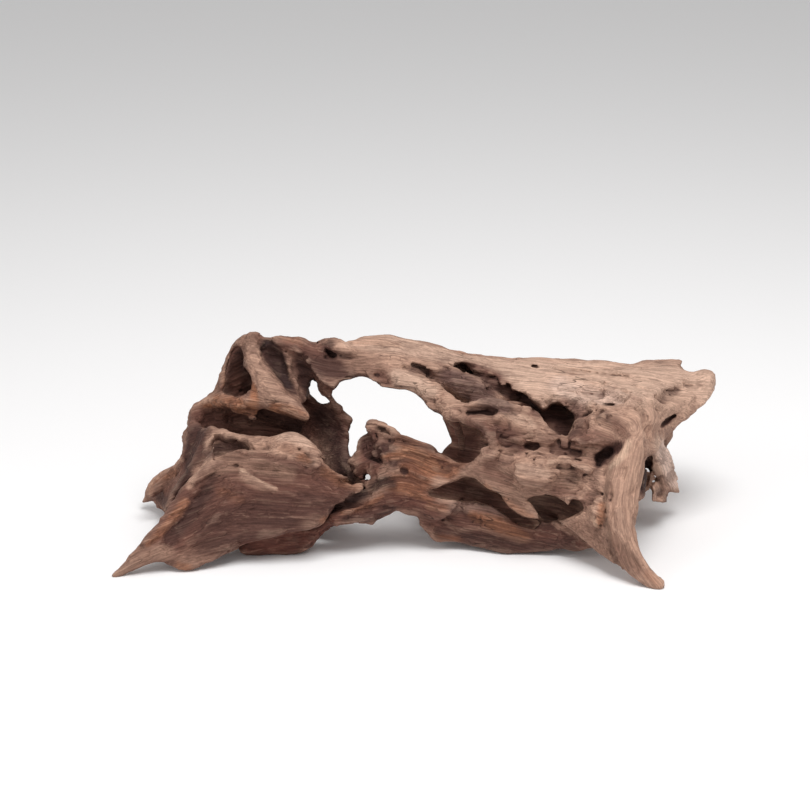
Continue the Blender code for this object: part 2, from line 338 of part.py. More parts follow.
# Relief laid on the front of the wood: kind, name, (column, row, lift, radius) along it, then its softness.
# A ridge adds, a hollow cuts, and a hole is sunk straight in; its third number is how deep it goes.
HOLE_STEP, HOLE_TAPER = 2.5, 0.7  # spacing of the bores that make up a hole, and how they narrow
RELIEF = [
    ("ridge", "main fold of the crest", [(253, 340, -4, 8), (254, 354, -3, 9), (257, 367, -4, 9),
        (263, 380, -5, 11), (273, 393, -6, 13), (286, 403, -5, 11), (298, 412, -3, 7),
        (305, 418, -1, 4)], 6),
    ("hollow", "cheek of the crest", [(263, 341, 3, 4), (268, 347, 1, 7), (273, 356, 0, 8.5),
        (279, 366, 0, 8.5), (285, 377, 1, 7), (291, 388, 2, 5), (296, 397, 3, 3)], 6),
    ("hollow", "notch of the crest", [(264, 337, 1, 3.5), (268, 340, 1, 3)], 2),
    ("ridge", "thin fold", [(284, 352, 0, 3), (289, 362, 0, 3.5), (292, 372, 0, 3.5),
        (296, 384, 0, 3.5), (303, 396, -1, 3)], 3),
    ("hollow", "behind the thin fold", [(294, 354, 4, 4), (299, 362, 2, 6), (304, 371, 1, 7),
        (305, 383, 1, 6.5), (305, 394, 3, 5)], 5),
    ("ridge", "brow of the crest", [(278, 342, 0, 3), (290, 345, -1, 4), (302, 349, -1, 4),
        (314, 354, 0, 4)], 5),
    ("hole", "beam pit", [(327, 348, 5, 3), (330, 352, 9, 5), (334, 355, 9, 4.5), (326, 357, 5, 3)], 2),
    ("hole", "under the brow", [(340, 355, 5, 2.5), (346, 356, 5, 3), (353, 356, 3, 2)], 2),
    ("ridge", "beam brow", [(330, 346, -1, 3.5), (342, 350, -1, 4), (352, 353, -2, 4)], 4),
    ("hollow", "beam root", [(305, 350, 6, 9), (318, 362, 6, 10), (330, 372, 7, 10)], 6),
    ("ridge", "second fibre of the ledge", [(212, 408, -1, 2.5), (228, 409, -1, 2.5),
        (243, 412, -1, 2.5), (255, 417, -1, 2)], 2),
    ("ridge", "wave of the beam", [(350, 344, -1, 3), (366, 342, -1, 3.5), (384, 345, -1, 3.5),
        (402, 352, -1, 3)], 4),
    ("hollow", "scoop of the beam", [(378, 375, 2, 6), (388, 381, 2, 6)], 4),
    ("ridge", "shoulder of the beam", [(396, 372, -1, 4), (404, 380, -1, 5), (418, 384, -1, 5),
        (430, 394, -1, 4)], 4),
    ("hollow", "crack above the shoulder", [(396, 368, 1, 3), (408, 367, 0, 3.5), (420, 370, 0, 4),
        (430, 375, 0, 4)], 2),
    ("hole", "dark of the crack", [(412, 365, 4, 1.8), (421, 368, 7, 2.6), (428, 373, 7, 3),
        (434, 378, 6, 2.6)], 2),
    ("ridge", "ledge under the pocket", [(208, 401, -2, 5), (222, 401, -2, 6), (238, 403, -2, 6),
        (252, 400, -2, 6)], 5),
    ("hollow", "under the ledge", [(226, 412, 6, 8), (240, 420, 6, 9)], 4),
    ("ridge", "prong of the crest", [(222, 364, -1, 3), (221.5, 374, 0, 3), (221.5, 386, -1, 3)], 3),
    ("ridge", "spine of the lobe", [(198, 416, -3, 7), (194, 436, -3, 7), (188, 456, -3, 6),
        (170, 477, -3, 5), (151, 494, -2, 4)], 6),
    ("hollow", "behind the spine", [(210, 420, 5, 9), (206, 440, 5, 9), (194, 462, 6, 8),
        (182, 484, 7, 8)], 6),
    ("ridge", "tooth of the lobe", [(186, 478, -2, 4), (176, 492, -1, 4), (169, 507, -1, 4)], 4),
    ("hollow", "under the lip", [(203, 464, 1, 4), (208, 455, -3, 6.5), (216, 448, -6, 8),
        (227, 446, -6, 7.5), (238, 447, -4, 5.5), (248, 449, -1, 3.5)], 3),
    ("ridge", "edge of the fan", [(192, 483, -2, 5), (178, 502, -2, 5), (162, 525, -2, 5),
        (146, 544, -1, 4)], 5),
    ("hollow", "valley of the fan", [(214, 484, 12, 18), (196, 510, 12, 18), (176, 538, 12, 16)], 8),
    ("hollow", "above the scar", [(258, 468, 9, 13), (280, 473, 9, 14), (300, 478, 9, 12)], 6),
    ("ridge", "lobe beside the rim", [(196, 482, -1, 4), (203, 474, -1, 5), (212, 468, -1, 5),
        (222, 464, -1, 4)], 4),
    ("hollow", "furrow of the fan", [(206, 492, 3, 6), (196, 505, 3, 7), (184, 521, 3, 7),
        (171, 537, 3, 6)], 5),
    ("hollow", "notch above the scar", [(236, 465, 0, 3)], 2),
    ("ridge", "wave above the scar", [(252, 462, -1, 3), (272, 462, -1, 4), (292, 466, -1, 4),
        (308, 472, -1, 3)], 4),
    ("ridge", "back of the fan's tip", [(318, 466, -1, 3.5), (334, 474, -1, 3.5),
        (350, 481, -1, 3.5)], 4),
    ("ridge", "leaf-shaped scar", [(240, 471, -2, 3.5), (250, 480, -1.5, 5), (263, 486, -1.5, 4.5),
        (276, 489, -1, 2)], 2),
    ("hollow", "fan beside the knob", [(322, 476, 6, 9), (340, 486, 6, 9), (356, 489, 6, 8)], 5),
    ("hollow", "low on the fan", [(260, 512, 14, 19), (230, 528, 14, 18), (205, 548, 12, 16)], 8),
    ("hollow", "cleft beside the fan", [(340, 509, 1, 4), (352, 503, 0, 4.5), (362, 497, 0, 4.5),
        (371, 489, 0, 5), (376, 478, 2, 4)], 3),
    ("ridge", "horn knot of the link", [(371, 424.5, -2, 5), (385, 431, -3, 6), (398, 439, -3, 6)], 4),
    ("hollow", "cheek of the link", [(366, 444, 4, 8), (370, 455, 3, 9), (378, 464, 4, 8)], 5),
    ("ridge", "round the pinhole", [(357, 474, -2, 4), (361, 465, -1, 4), (371, 463, -1, 4),
        (380, 470, -1, 4), (383, 484, -2, 4)], 3),
    ("hollow", "eye of the swirl", [(404, 470, -1, 4.5)], 2),
    ("hole", "slot of the horn knot", [(379, 427, 3, 1.8), (384, 431, 4, 2.4),
        (389, 434, 3, 1.8)], 1.5),
    ("ridge", "strand down the knot", [(370, 430, 0, 3), (377, 440, 0, 3), (386, 449, 0, 3),
        (392, 458, 0, 3)], 2),
    ("ridge", "second strand down the knot", [(366, 440, 0, 2.5), (371, 450, 0, 2.5),
        (378, 459, 0, 2.5)], 2),
    ("ridge", "wave of the link", [(396, 444, -1, 3), (410, 449, -1, 3.5), (424, 453, -1, 3.5),
        (438, 460, -1, 3.5), (452, 464, -1, 3)], 3),
    ("hollow", "groove of the link", [(410, 478, 2, 4), (420, 485, 2, 4), (430, 490, 2, 4)], 3),
    ("ridge", "lower wave of the link", [(392, 492, -1, 3), (406, 495, -1, 3.5), (420, 499, -1, 3.5),
        (436, 505, -1, 3)], 3),
    ("hollow", "cut under the wave", [(412, 500, 1, 2.5), (424, 503, 1, 2.5), (436, 509, 1, 2)], 2),
    ("ridge", "swirl", [(392, 466, -1, 4), (398, 457, -1, 4), (410, 456, -1, 4), (418, 464, -1, 4),
        (424, 476, -1, 4)], 4),
    ("ridge", "strand of the link", [(334, 516, -1, 3), (352, 511, -1, 3.5), (368, 505, -1, 4),
        (382, 494, -1, 4), (394, 486, -1, 4)], 3),
    ("hollow", "under the strand", [(340, 521, 2, 3.5), (360, 515, 1, 4.5), (382, 506, 2, 5)], 3),
    ("hollow", "shoulder of the link", [(412, 452, 8, 12), (428, 462, 8, 12), (446, 470, 9, 12)], 6),
]
FACE_RELIEF = [
    ("ridge", "below the slot", [(466, 419, -1, 3), (480, 420, -1, 3), (498, 419, -1, 3)], 3),
    ("ridge", "arm over the tunnel", [(449, 414, -2, 4), (462, 418, -2, 4.5), (478, 424, -2, 4.5),
        (490, 432, -2, 4), (497, 442, -2, 4), (492, 452, -2, 4)], 4),
    ("hollow", "bay of the face", [(503, 430, 5, 9), (511, 440, 4, 10), (518, 449, 5, 8)], 5),
    ("ridge", "shelf under the channel", [(500, 412, -2, 5), (515, 417, -2, 6), (530, 424, -2, 6),
        (543, 433, -2, 5), (558, 442, -2, 4)], 5),
    ("ridge", "wave over the knob", [(488, 450, -1, 4), (500, 455, -1, 4), (514, 459, -1, 4),
        (530, 458, -1, 4), (548, 455, -1, 4), (566, 452, -1, 4), (585, 450, -1, 4)], 4),
    ("hollow", "trough by the small hole", [(545, 446, 3, 6), (560, 449, 3, 6), (575, 452, 4, 5)], 4),
    ("hollow", "left of the knob", [(500, 462, 5, 8), (505, 474, 5, 8), (512, 486, 5, 7)], 5),
    ("hollow", "pits right of the knob", [(572, 462, 2, 5), (580, 468, 2, 5)], 3),
    ("hollow", "shadow right of the knob", [(566, 482, 1, 5), (574, 478, 1, 5)], 4),
    ("ridge", "strut right of the knob", [(586, 462, -2, 5), (589, 474, -2, 6), (594, 488, -2, 6),
        (598, 500, -2, 6)], 5),
    ("hollow", "scoop of the shoulder", [(580, 400, 5, 8), (592, 404, 5, 8)], 5),
    ("hole", "cracks of the shoulder", [(596, 417, 4, 1.6), (600, 413, 5, 2.2),
        (605, 409, 4, 1.6)], 1.5),
    ("ridge", "rim of the round hollow", [(545, 404, -1, 3), (556, 402, -1, 3), (567, 406, -1, 3),
        (575, 414, -1, 3)], 3),
    ("hole", "small hole", [(527, 445.5, 9, 3.4), (531, 446, 14, 4.2), (536, 446, 10, 3.6)], 1.5),
    ("hole", "slit beside the channel", [(542, 431, 6, 2), (548, 435, 9, 2.8), (554, 438, 8, 2.8),
        (559, 441, 5, 1.8)], 1.5),
    ("hollow", "slope into the round hollow", [(546, 401, 5, 7), (556, 399, 5, 8), (567, 402, 5, 8),
        (577, 409, 5, 8), (580, 420, 6, 8)], 6),
    ("ridge", "brow under the channel", [(440, 402, -1, 5), (462, 408, 0, 4), (490, 402, -2, 4),
        (512, 409, -2, 4), (530, 412, -2, 4), (545, 428, -2, 4), (560, 438, -2, 4)], 5),
    ("ridge", "rim of the tunnel", [(455, 415, -2, 4), (476, 422, -2, 4), (492, 434, -2, 4),
        (496, 446, -2, 4), (484, 460, -2, 4)], 4),
    ("hollow", "dish beside the tunnel", [(512, 424, 8, 12), (524, 432, 8, 12), (520, 444, 8, 12),
        (508, 452, 9, 12)], 6),
    ("hollow", "dish over the knob", [(550, 444, 6, 9), (570, 450, 5, 9)], 5),
    ("ridge", "fold over the knob", [(545, 438, -2, 4), (562, 446, -2, 4), (580, 446, -2, 4)], 4),
    ("hollow", "round the knob", [(556, 490, 8, 10), (570, 482, 8, 12), (590, 488, 8, 12)], 6),
    ("hollow", "back of the spike", [(492, 470, 9, 13), (506, 486, 8, 11), (520, 500, 8, 9)], 5),
    ("hollow", "face pocket", [(600, 466, 2, 5), (602, 459, 0, 8), (609, 453, 0, 8),
        (618, 447, 2, 5)], 3),
    ("hole", "deep of the face pocket", [(599, 464, 8, 3), (600, 458, 10, 4), (605, 454, 10, 4.5),
        (611, 451, 8, 4)], 2),
    ("ridge", "fold beside the pocket", [(630, 441, -1, 4), (626, 450, -1, 4), (619, 459, -1, 4),
        (612, 467, -2, 3)], 3),
    ("hollow", "dish over the pocket", [(612, 424, 7, 10), (622, 428, 7, 10)], 6),
    ("hollow", "table pit", [(600, 413, 1, 4)], 3),
    ("hollow", "table dimple", [(640, 394, 4, 8)], 5),
    ("hole", "worm hole", [(532, 365.5, 5, 2.2), (536, 366.5, 6, 2.4), (541, 368, 3, 1.8)], 1.5),
    ("hole", "horn slot", [(661.5, 426.5, 6, 1.8), (665, 423, 9, 2.6), (670, 419, 9, 2.6),
        (675, 415.5, 6, 1.8)], 1.5),
    ("hollow", "horn pit", [(660, 405, 2, 4), (664, 397, 0, 6.5), (671, 391, 2, 5)], 3),
    ("hole", "deep of the horn pit", [(661, 401, 5, 2.4), (664, 396, 7, 3.2), (668, 392, 5, 2.4)], 2),
    ("hollow", "pits by the horn", [(682, 386, -1, 3), (688, 390, -1, 3)], 2),
    ("hollow", "dimple on the table", [(624, 389, 0, 4), (628, 392, 0, 4)], 3),
    ("ridge", "broken end beside the leg", [(598, 506, -1, 6), (600, 514, 0, 6.5),
        (599, 522, 0, 6)], 3),
    ("hollow", "chip", [(606, 529, 2, 3), (600, 531, 2, 3.5), (593, 527, 2, 3)], 2),
    ("hollow", "beside the leg", [(645, 457, -3, 3.5), (646, 467, -6, 6), (645, 480, -7, 6.5),
        (641, 490, -5, 4)], 3),
    ("hole", "dark beside the leg", [(645.5, 461, 12, 2.6), (646, 468, 20, 4), (646, 477, 22, 4),
        (644, 486, 16, 3)], 2),
    ("ridge", "shin", [(636, 402, -4, 10), (632, 420, -4, 9), (634, 445, -3, 8), (629, 470, -3, 8),
        (621, 500, -3, 8), (622, 530, -3, 8)], 8),
    ("hollow", "behind the shin", [(645, 410, 6, 10), (650, 430, 6, 9)], 6),
    ("ridge", "grain of the table", [(560, 372, -4, 8), (600, 372, -4, 9), (640, 380, -4, 9),
        (680, 384, -4, 8)], 8),
    ("hollow", "dish of the table", [(590, 385, 10, 16), (610, 395, 10, 14)], 8),
    ("ridge", "edge of the flange", [(671, 462, -1, 3), (675, 478, -1, 3)], 3),
    ("hollow", "between the flange teeth", [(662, 480, 2, 4), (663, 490, 1, 4), (660, 498, 2, 5)], 3),
    ("ridge", "step of the plank", [(446, 520, -1, 4), (460, 530, -1, 4), (482, 529, -1, 4),
        (510, 536, -1, 4), (532, 541, -1, 4)], 3),
    ("hollow", "under the step", [(440, 530, 3, 6), (466, 538, 3, 6), (500, 544, 3, 6),
        (540, 546, 4, 6)], 4),
    ("ridge", "crown of the plank", [(470, 510, -2, 5), (500, 524, -1, 5), (530, 534, -1, 4)], 4),
]


def smooth_path(points, step=PATH_STEP):
    """A smooth curve through the points, with a row about every step."""
    p = np.asarray(points, float)
    if len(p) == 1:
        return p
    q = np.vstack([2 * p[0] - p[1], p, 2 * p[-1] - p[-2]])
    rows = []
    for a, b, c, d in zip(q[:-3], q[1:-2], q[2:-1], q[3:]):
        n = max(1, int(np.ceil(np.linalg.norm(c[:3] - b[:3]) / step)))
        t = (np.arange(n) / n)[:, None]
        square, cube = 2 * a - 5 * b + 4 * c - d, 3 * b - a - 3 * c + d
        rows.append(0.5 * (2 * b + (c - a) * t + square * t**2 + cube * t**3))
    rows.append(p[-1:])
    return np.vstack(rows)


def soft_min(a, b, k):
    """The smaller of a and b, with the corner between them rounded over k."""
    h = np.maximum(k - np.abs(a - b), 0) / k
    return np.minimum(a, b) - h * h * k / 4


def polygon_distance(gx, gy, ring):
    """Distance to a closed outline, negative inside it."""
    best = np.full(np.broadcast(gx, gy).shape, 1e9)
    inside = np.zeros(best.shape, bool)
    for a, b in zip(ring, np.roll(ring, -1, 0)):
        e = b - a
        px, py = gx - a[0], gy - a[1]
        t = np.clip((px * e[0] + py * e[1]) / max(e @ e, 1e-9), 0, 1)
        best = np.minimum(best, (px - t * e[0]) ** 2 + (py - t * e[1]) ** 2)
        inside ^= ((a[1] > gy) != (b[1] > gy)) & (px < e[0] * (gy - a[1]) / (e[1] if e[1] else 1e-9))
    return np.where(inside, -np.sqrt(best), np.sqrt(best))


def surface_through(gx, gy, anchors):
    """Depth and thickness at each column and row: the smoothest sheet through the anchors."""
    p = anchors[:, :2]
    n = len(p)
    system = np.zeros((n + 3, n + 3))
    system[:n, :n] = np.linalg.norm(p[:, None] - p[None], axis=2)
    system[:n, n] = system[n, :n] = 1
    system[:n, n + 1 :] = p
    system[n + 1 :, :n] = p.T
    known = np.zeros((n + 3, 2))
    known[:n] = anchors[:, 2:4]
    w = np.linalg.lstsq(system, known, rcond=None)[0]
    out = [w[n, j] + w[n + 1, j] * gx + w[n + 2, j] * gy for j in range(2)]
    for i in range(n):
        r = np.sqrt((gx - p[i, 0]) ** 2 + (gy - p[i, 1]) ** 2 + SHEET_BEND**2)
        out = [out[j] + w[i, j] * r for j in range(2)]
    return out


def to_world(x, y, w):
    """Where a point of the sheet and its depth lie in the room, in metres, with the floor at height 0."""
    away = DEPTH_SCALE * w
    grow = 1 + away * STEP / VIEW_DISTANCE
    rise = (SHEET_MIDDLE - y) * grow
    c, s = math.cos(VIEW_TILT), math.sin(VIEW_TILT)
    return (
        STEP * (x - SHEET_MIDDLE) * grow - CENTRE_X,
        STEP * (away * c + rise * s) - CENTRE_Y,
        STEP * (rise * c - away * s + (FLOOR_ROW - SHEET_MIDDLE) * c),
    )


class Block:
    """The block being carved, on a grid in sheet steps: value is below 0 inside the wood."""

    def __init__(self, h):
        self.low, self.h = np.asarray(LOW, float), float(h)
        self.shape = tuple(int(np.ceil((b - a) / h)) + 1 for a, b in zip(LOW, HIGH))
        self.axes = [self.low[i] + self.h * np.arange(self.shape[i]) for i in range(3)]
        self.value = np.full(self.shape, FAR, np.float32)

    def window(self, low, high):
        """Slices of the grid that cover the box from low to high."""
        out = []
        for i in range(3):
            a = int(np.clip(np.floor((low[i] - self.low[i]) / self.h), 0, self.shape[i]))
            b = int(np.clip(np.ceil((high[i] - self.low[i]) / self.h) + 1, 0, self.shape[i]))
            out.append(slice(a, b))
        return tuple(out)

    def coords(self, s):
        shapes = ((-1, 1, 1), (1, -1, 1), (1, 1, -1))
        return [self.axes[i][s[i]].astype(np.float32).reshape(shapes[i]) for i in range(3)]

    def join(self, box, made, k, cut):
        v = self.value[box]
        self.value[box] = -soft_min(-v, made, k) if cut else soft_min(v, made, k)

    def limb(self, points, k, cut=False):
        """A round-ended limb through points of (column, row, depth, radius)."""
        path = smooth_path(points)
        pad = k + 3 * self.h
        low, high = (path[:, :3] - path[:, 3:]).min(0), (path[:, :3] + path[:, 3:]).max(0)
        box = self.window(low - pad, high + pad)
        made = np.full([s.stop - s.start for s in box], FAR, np.float32)
        if made.size == 0:
            return
        for a, b in zip(path[:-1], path[1:]) if len(path) > 1 else [(path[0], path[0])]:
            big = max(a[3], b[3]) + pad
            s = self.window(np.minimum(a[:3], b[:3]) - big, np.maximum(a[:3], b[:3]) + big)
            s = tuple(slice(max(t.start, u.start), min(t.stop, u.stop)) for t, u in zip(s, box))
            if any(t.stop <= t.start for t in s):
                continue
            p = [c - v for c, v in zip(self.coords(s), a)]
            ab = b[:3] - a[:3]
            t = np.clip(sum(c * v for c, v in zip(p, ab)) / max(ab @ ab, 1e-9), 0, 1)
            d = np.sqrt(sum((c - t * v) ** 2 for c, v in zip(p, ab))) - (a[3] + t * (b[3] - a[3]))
            sub = tuple(slice(t.start - u.start, t.stop - u.start) for t, u in zip(s, box))
            made[sub] = np.minimum(made[sub], d)
        self.join(box, made, k, cut)

    def plate(self, outline, anchors, k, edge, cut=False, inset=0.0):
        """A plate with this outline. The anchors set its depth and thickness; edge rounds its rim."""
        ring = smooth_path([(*p, 0) for p in outline] + [(*outline[0], 0)], 6.0)[:-1, :2]
        anchors = np.asarray(anchors, float)
        pad = k + 3 * self.h + edge
        half = anchors[:, 3].max() / 2 + pad + PLATE_REACH
        box = self.window([*(ring.min(0) - pad), anchors[:, 2].min() - half],
                          [*(ring.max(0) + pad), anchors[:, 2].max() + half])
        gx, gy = self.axes[0][box[0]][:, None], self.axes[1][box[1]][None, :]
        depth, thick = surface_through(gx, gy, anchors)
        slope = np.gradient(depth, self.h)
        thick = thick * np.minimum(np.sqrt(1 + slope[0] ** 2 + slope[1] ** 2), MOST_THICKENED)
        away = np.abs(self.coords(box)[2] - depth[:, :, None]) - thick[:, :, None] / 2
        made = -soft_min(-polygon_distance(gx, gy, ring)[:, :, None] - inset, -away, edge)
        self.join(box, made.astype(np.float32), k, cut)

    def front(self, x, y):
        """Depth of the first wood met at a column and row, over the nearest 3 x 3 lines of sight."""
        i = int(np.clip(round((x - self.low[0]) / self.h), 1, self.shape[0] - 2))
        j = int(np.clip(round((y - self.low[1]) / self.h), 1, self.shape[1] - 2))
        found = []
        for line in self.value[i - 1 : i + 2, j - 1 : j + 2].reshape(9, -1):
            n = int((line < 0).argmax())
            if n > 0:
                found.append(self.low[2] + self.h * (n - 1 + line[n - 1] / (line[n - 1] - line[n])))
        return float(np.median(found)) if found else None

    def relief(self, kind, points, k):
        """A ridge or a hollow laid on the front of the wood, or a hole sunk straight into it."""
        laid, last = [], None
        for x, y, lift, r in points:
            met = self.front(x, y)
            if met is not None and (last is None or abs(met - last) < SAME_SURFACE):
                last = met
            if last is not None:
                laid.append((x, y, last, lift, r))
        if laid and kind == "hole":
            for x, y, met, deep, r in smooth_path(laid, HOLE_STEP):
                self.limb([(x, y, met - r, r), (x, y, met + deep, HOLE_TAPER * r)], k, True)
        elif laid:
            self.limb([(x, y, met - lift, r) for x, y, met, lift, r in laid], k, kind == "hollow")


class Noise:
    """Smooth random values between -1 and 1 on a wrapped lattice."""

    def __init__(self, seed):
        self.table = np.random.default_rng(seed).uniform(-1, 1, (64, 64, 64)).astype(np.float32)

    def __call__(self, x, y, z):
        cells = [np.floor(v) for v in (x, y, z)]
        t = [v - c for v, c in zip((x, y, z), cells)]
        tx, ty, tz = (v * v * (3 - 2 * v) for v in t)
        low = [c.astype(np.int64) % 64 for c in cells]
        high = [(c + 1) % 64 for c in low]
        pick = self.table
        near = [pick[low[0], j, k] * (1 - tx) + pick[high[0], j, k] * tx
                for k in (low[2], high[2]) for j in (low[1], high[1])]
        return (near[0] * (1 - ty) + near[1] * ty) * (1 - tz) + (near[2] * (1 - ty) + near[3] * ty) * tz


def weather(b):
    """Wear flutes into the sides that face away; they fade out towards the front and the outline."""
    wood = b.value < 0
    seen = wood.any(2)
    first = np.where(seen, wood.argmax(2) * b.h + b.low[2], 1e6)
    inner = seen.astype(float)
    r = int(round(RIM_KEPT / b.h))
    for axis in (0, 1):
        inner = sum(np.roll(inner, n, axis) for n in range(-r, r + 1)) / (2 * r + 1)
    inner = np.clip(2 * inner - 1, 0, 1)
    i, j, k = np.nonzero(np.abs(b.value) < 3 * FLUTE_DEPTH)
    w = b.axes[2][k]
    behind = np.clip((w - first[i, j] - FLUTES_BEGIN) / FLUTES_FULL, 0, 1) * inner[i, j]
    some = behind > 0
    i, j, k, w, behind = i[some], j[some], k[some], w[some], behind[some]
    x, y = b.axes[0][i], b.axes[1][j]
    bend = WANDER * NOISE(x / WANDER_LENGTH, y / WANDER_WIDTH, w / WANDER_WIDTH)
    flute = np.abs(NOISE(x / FLUTE_LENGTH, (y + bend) / FLUTE_WIDTH, (w + bend) / FLUTE_WIDTH))
    knot = NOISE(x / KNOT_LENGTH + KNOT_SHIFT, y / KNOT_WIDTH, w / KNOT_WIDTH)
    worn = 2 * flute - FLUTE_RIDGE + KNOT_DEPTH * knot
    b.value[i, j, k] += (behind * FLUTE_DEPTH * worn).astype(np.float32)


NOISE = Noise(SEED)


def carve(h):
    """The whole piece of wood, on a grid of h sheet steps."""
    b = Block(h)
    for points in CORES.values():
        b.limb(points, CORE_SOFTNESS)
    for outline, depths, k, edge in PLATES:
        b.plate(outline, depths, k, edge)
    for points in BACK_HOLLOWS.values():
        b.limb(points, HOLLOW_SOFTNESS, True)
    for points, k in OUTER_LIMBS:
        b.limb(points, k)
    b.plate(*CHANNEL_CUT, True)
    for points, k in INNER_LIMBS:
        b.limb(points, k)
    b.plate(*KNOB_JOIN)
    b.plate(*POCKET_CUT, True)
    for kind, _, points, k in RELIEF:
        b.relief(kind, points, k)
    for made in LOW_CUTS:
        b.plate(*made, True)
    b.limb(TUNNEL_STRUT, STRUT_SOFTNESS)
    for kind, _, points, k in FACE_RELIEF:
        b.relief(kind, points, k)
    for points in (EYE_SLOT, EYE_FLOOR):
        b.limb(points, SLOT_SOFTNESS, True)
    weather(b)
    for outline, depths, k, edge, inset in THROUGH_CUTS:
        b.plate(outline, depths, k, edge, True, inset)
    b.limb(NECK, NECK_SOFTNESS)
    b.limb(PINHOLE, HOLE_SOFTNESS, True)
    height = to_world(*b.coords((slice(None),) * 3))[2] / STEP
    b.value = np.maximum(b.value, -height).astype(np.float32)
    return b


def skin_of(b):
    """Points and four-sided faces of the wood's surface; only the largest closed skin is kept."""
    grid = openvdb.FloatGrid(FAR)
    grid.copyFromArray(b.value)
    points, quads = grid.convertToQuads(0.0)
    points, quads = points.astype(float), quads.astype(np.int64)
    label = np.arange(len(points))
    while True:
        least = label[quads].min(1)
        new = label.copy()
        for c in range(4):
            np.minimum.at(new, quads[:, c], least)
        new = new[new]
        if (new == label).all():
            break
        label = new
    names, counts = np.unique(label[quads[:, 0]], return_counts=True)
    quads = quads[label[quads[:, 0]] == names[counts.argmax()]]
    used, flat = np.unique(quads, return_inverse=True)
    sheet = b.low + b.h * points[used]
    return sheet, flat.reshape(quads.shape)


def mesh_of(name, sheet, quads):
    """A mesh in the room from points of the sheet."""
    world = np.stack(to_world(*sheet.T), 1)
    mesh = bpy.data.meshes.new(name)
    mesh.vertices.add(len(world))
    mesh.vertices.foreach_set("co", world.astype(np.float32).ravel())
    mesh.loops.add(quads.size)
    mesh.loops.foreach_set("vertex_index", quads.astype(np.int32).ravel())
    mesh.polygons.add(len(quads))
    mesh.polygons.foreach_set("loop_start", np.arange(0, quads.size, 4, dtype=np.int32))
    mesh.update(calc_edges=True)
    return mesh


def reduce_to(obj, triangles):
    """Collapse the finest edges until about this many triangles are left."""
    modifier = obj.modifiers.new("reduce", "DECIMATE")
    modifier.ratio = triangles / (2 * len(obj.data.polygons))
    modifier.use_collapse_triangulate = True
    graph = bpy.context.evaluated_depsgraph_get()
    reduced = bpy.data.meshes.new_from_object(obj.evaluated_get(graph))
    obj.modifiers.clear()
    obj.data = reduced


def settle(mesh):
    """Press the feet flat onto the floor."""
    co = np.empty(len(mesh.vertices) * 3, np.float32)
    mesh.vertices.foreach_get("co", co)
    z = co.reshape(-1, 3)[:, 2]
    z[z < FOOT_PRESS] = 0.0
    mesh.vertices.foreach_set("co", co)
    mesh.update()


def wood_material():
    material = bpy.data.materials.new("weathered wood")
    material.use_nodes = True
    shader = material.node_tree.nodes["Principled BSDF"]
    shader.inputs["Base Color"].default_value = WOOD_COLOUR
    shader.inputs["Roughness"].default_value = WOOD_ROUGHNESS
    shader.inputs["Metallic"].default_value = 0.0
    return material


for old in list(bpy.data.objects):
    bpy.data.objects.remove(old, do_unlink=True)

driftwood = bpy.data.collections.new("honeycomb driftwood")
bpy.context.scene.collection.children.link(driftwood)
wood = bpy.data.objects.new("honeycomb_wood", mesh_of("honeycomb_wood", *skin_of(carve(GRID))))
driftwood.objects.link(wood)
reduce_to(wood, TRIANGLES)
settle(wood.data)
wood.data.shade_smooth()
wood.data.materials.clear()
wood.data.materials.append(wood_material())
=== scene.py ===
"""A branch of weathered honeycomb driftwood: its fine surface and finish, floor, light and camera.

The wood is carved as one solid on a grid, worked along its grain, and turned into one fine skin. Every
point of the skin then gets its place in the grain, how deeply it is worked, how shut in it lies, and the
tone that is brushed on it, in places painted shade. The material reads those, and paints shade where a
point is shut in.
"""

import math

import bpy
import numpy as np
import openvdb
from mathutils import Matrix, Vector


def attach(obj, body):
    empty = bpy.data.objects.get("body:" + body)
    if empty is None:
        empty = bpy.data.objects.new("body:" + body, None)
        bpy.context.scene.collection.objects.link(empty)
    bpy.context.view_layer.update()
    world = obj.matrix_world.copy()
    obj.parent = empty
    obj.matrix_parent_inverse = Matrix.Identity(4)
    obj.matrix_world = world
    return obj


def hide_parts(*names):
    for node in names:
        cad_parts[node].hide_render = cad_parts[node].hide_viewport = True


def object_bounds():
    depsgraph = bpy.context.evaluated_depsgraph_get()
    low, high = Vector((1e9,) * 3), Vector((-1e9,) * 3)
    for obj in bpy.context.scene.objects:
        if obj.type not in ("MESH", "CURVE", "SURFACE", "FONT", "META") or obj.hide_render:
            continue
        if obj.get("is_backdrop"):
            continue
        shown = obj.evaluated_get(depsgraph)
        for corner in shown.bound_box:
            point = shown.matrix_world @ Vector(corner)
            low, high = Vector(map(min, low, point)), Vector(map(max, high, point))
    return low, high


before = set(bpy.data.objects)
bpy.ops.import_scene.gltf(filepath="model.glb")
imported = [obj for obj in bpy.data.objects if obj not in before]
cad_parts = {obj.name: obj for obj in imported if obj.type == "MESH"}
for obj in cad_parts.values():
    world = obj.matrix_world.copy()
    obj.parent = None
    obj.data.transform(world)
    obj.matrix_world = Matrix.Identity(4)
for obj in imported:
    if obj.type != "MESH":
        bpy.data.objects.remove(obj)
cad_low, cad_high = (np.array(corner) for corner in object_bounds())

GRID = 1.25  # sheet steps between the points of the carving grid
TRIANGLES = 192000  # faces kept of the fine skin

# Colours of the wood in even light; umber and soot also serve as painted shade.
TONES = {
    "bleached": "cfac97", "bone": "e6c8b8", "cream": "d9b59c", "sand": "bb947f", "fawn": "93705f",
    "ash": "775b52", "brown": "6f483c", "umber": "4f322b", "soot": "281715", "honey": "a66e50",
    "amber": "84543e", "rust": "673b30",
}
# How strongly each tone is streaked, and then every other tone.
FIGURE = {"honey": 1.0, "amber": 1.0, "rust": 0.8, "umber": 0.6, "brown": 0.5}
PLAIN_FIGURE = 0.25

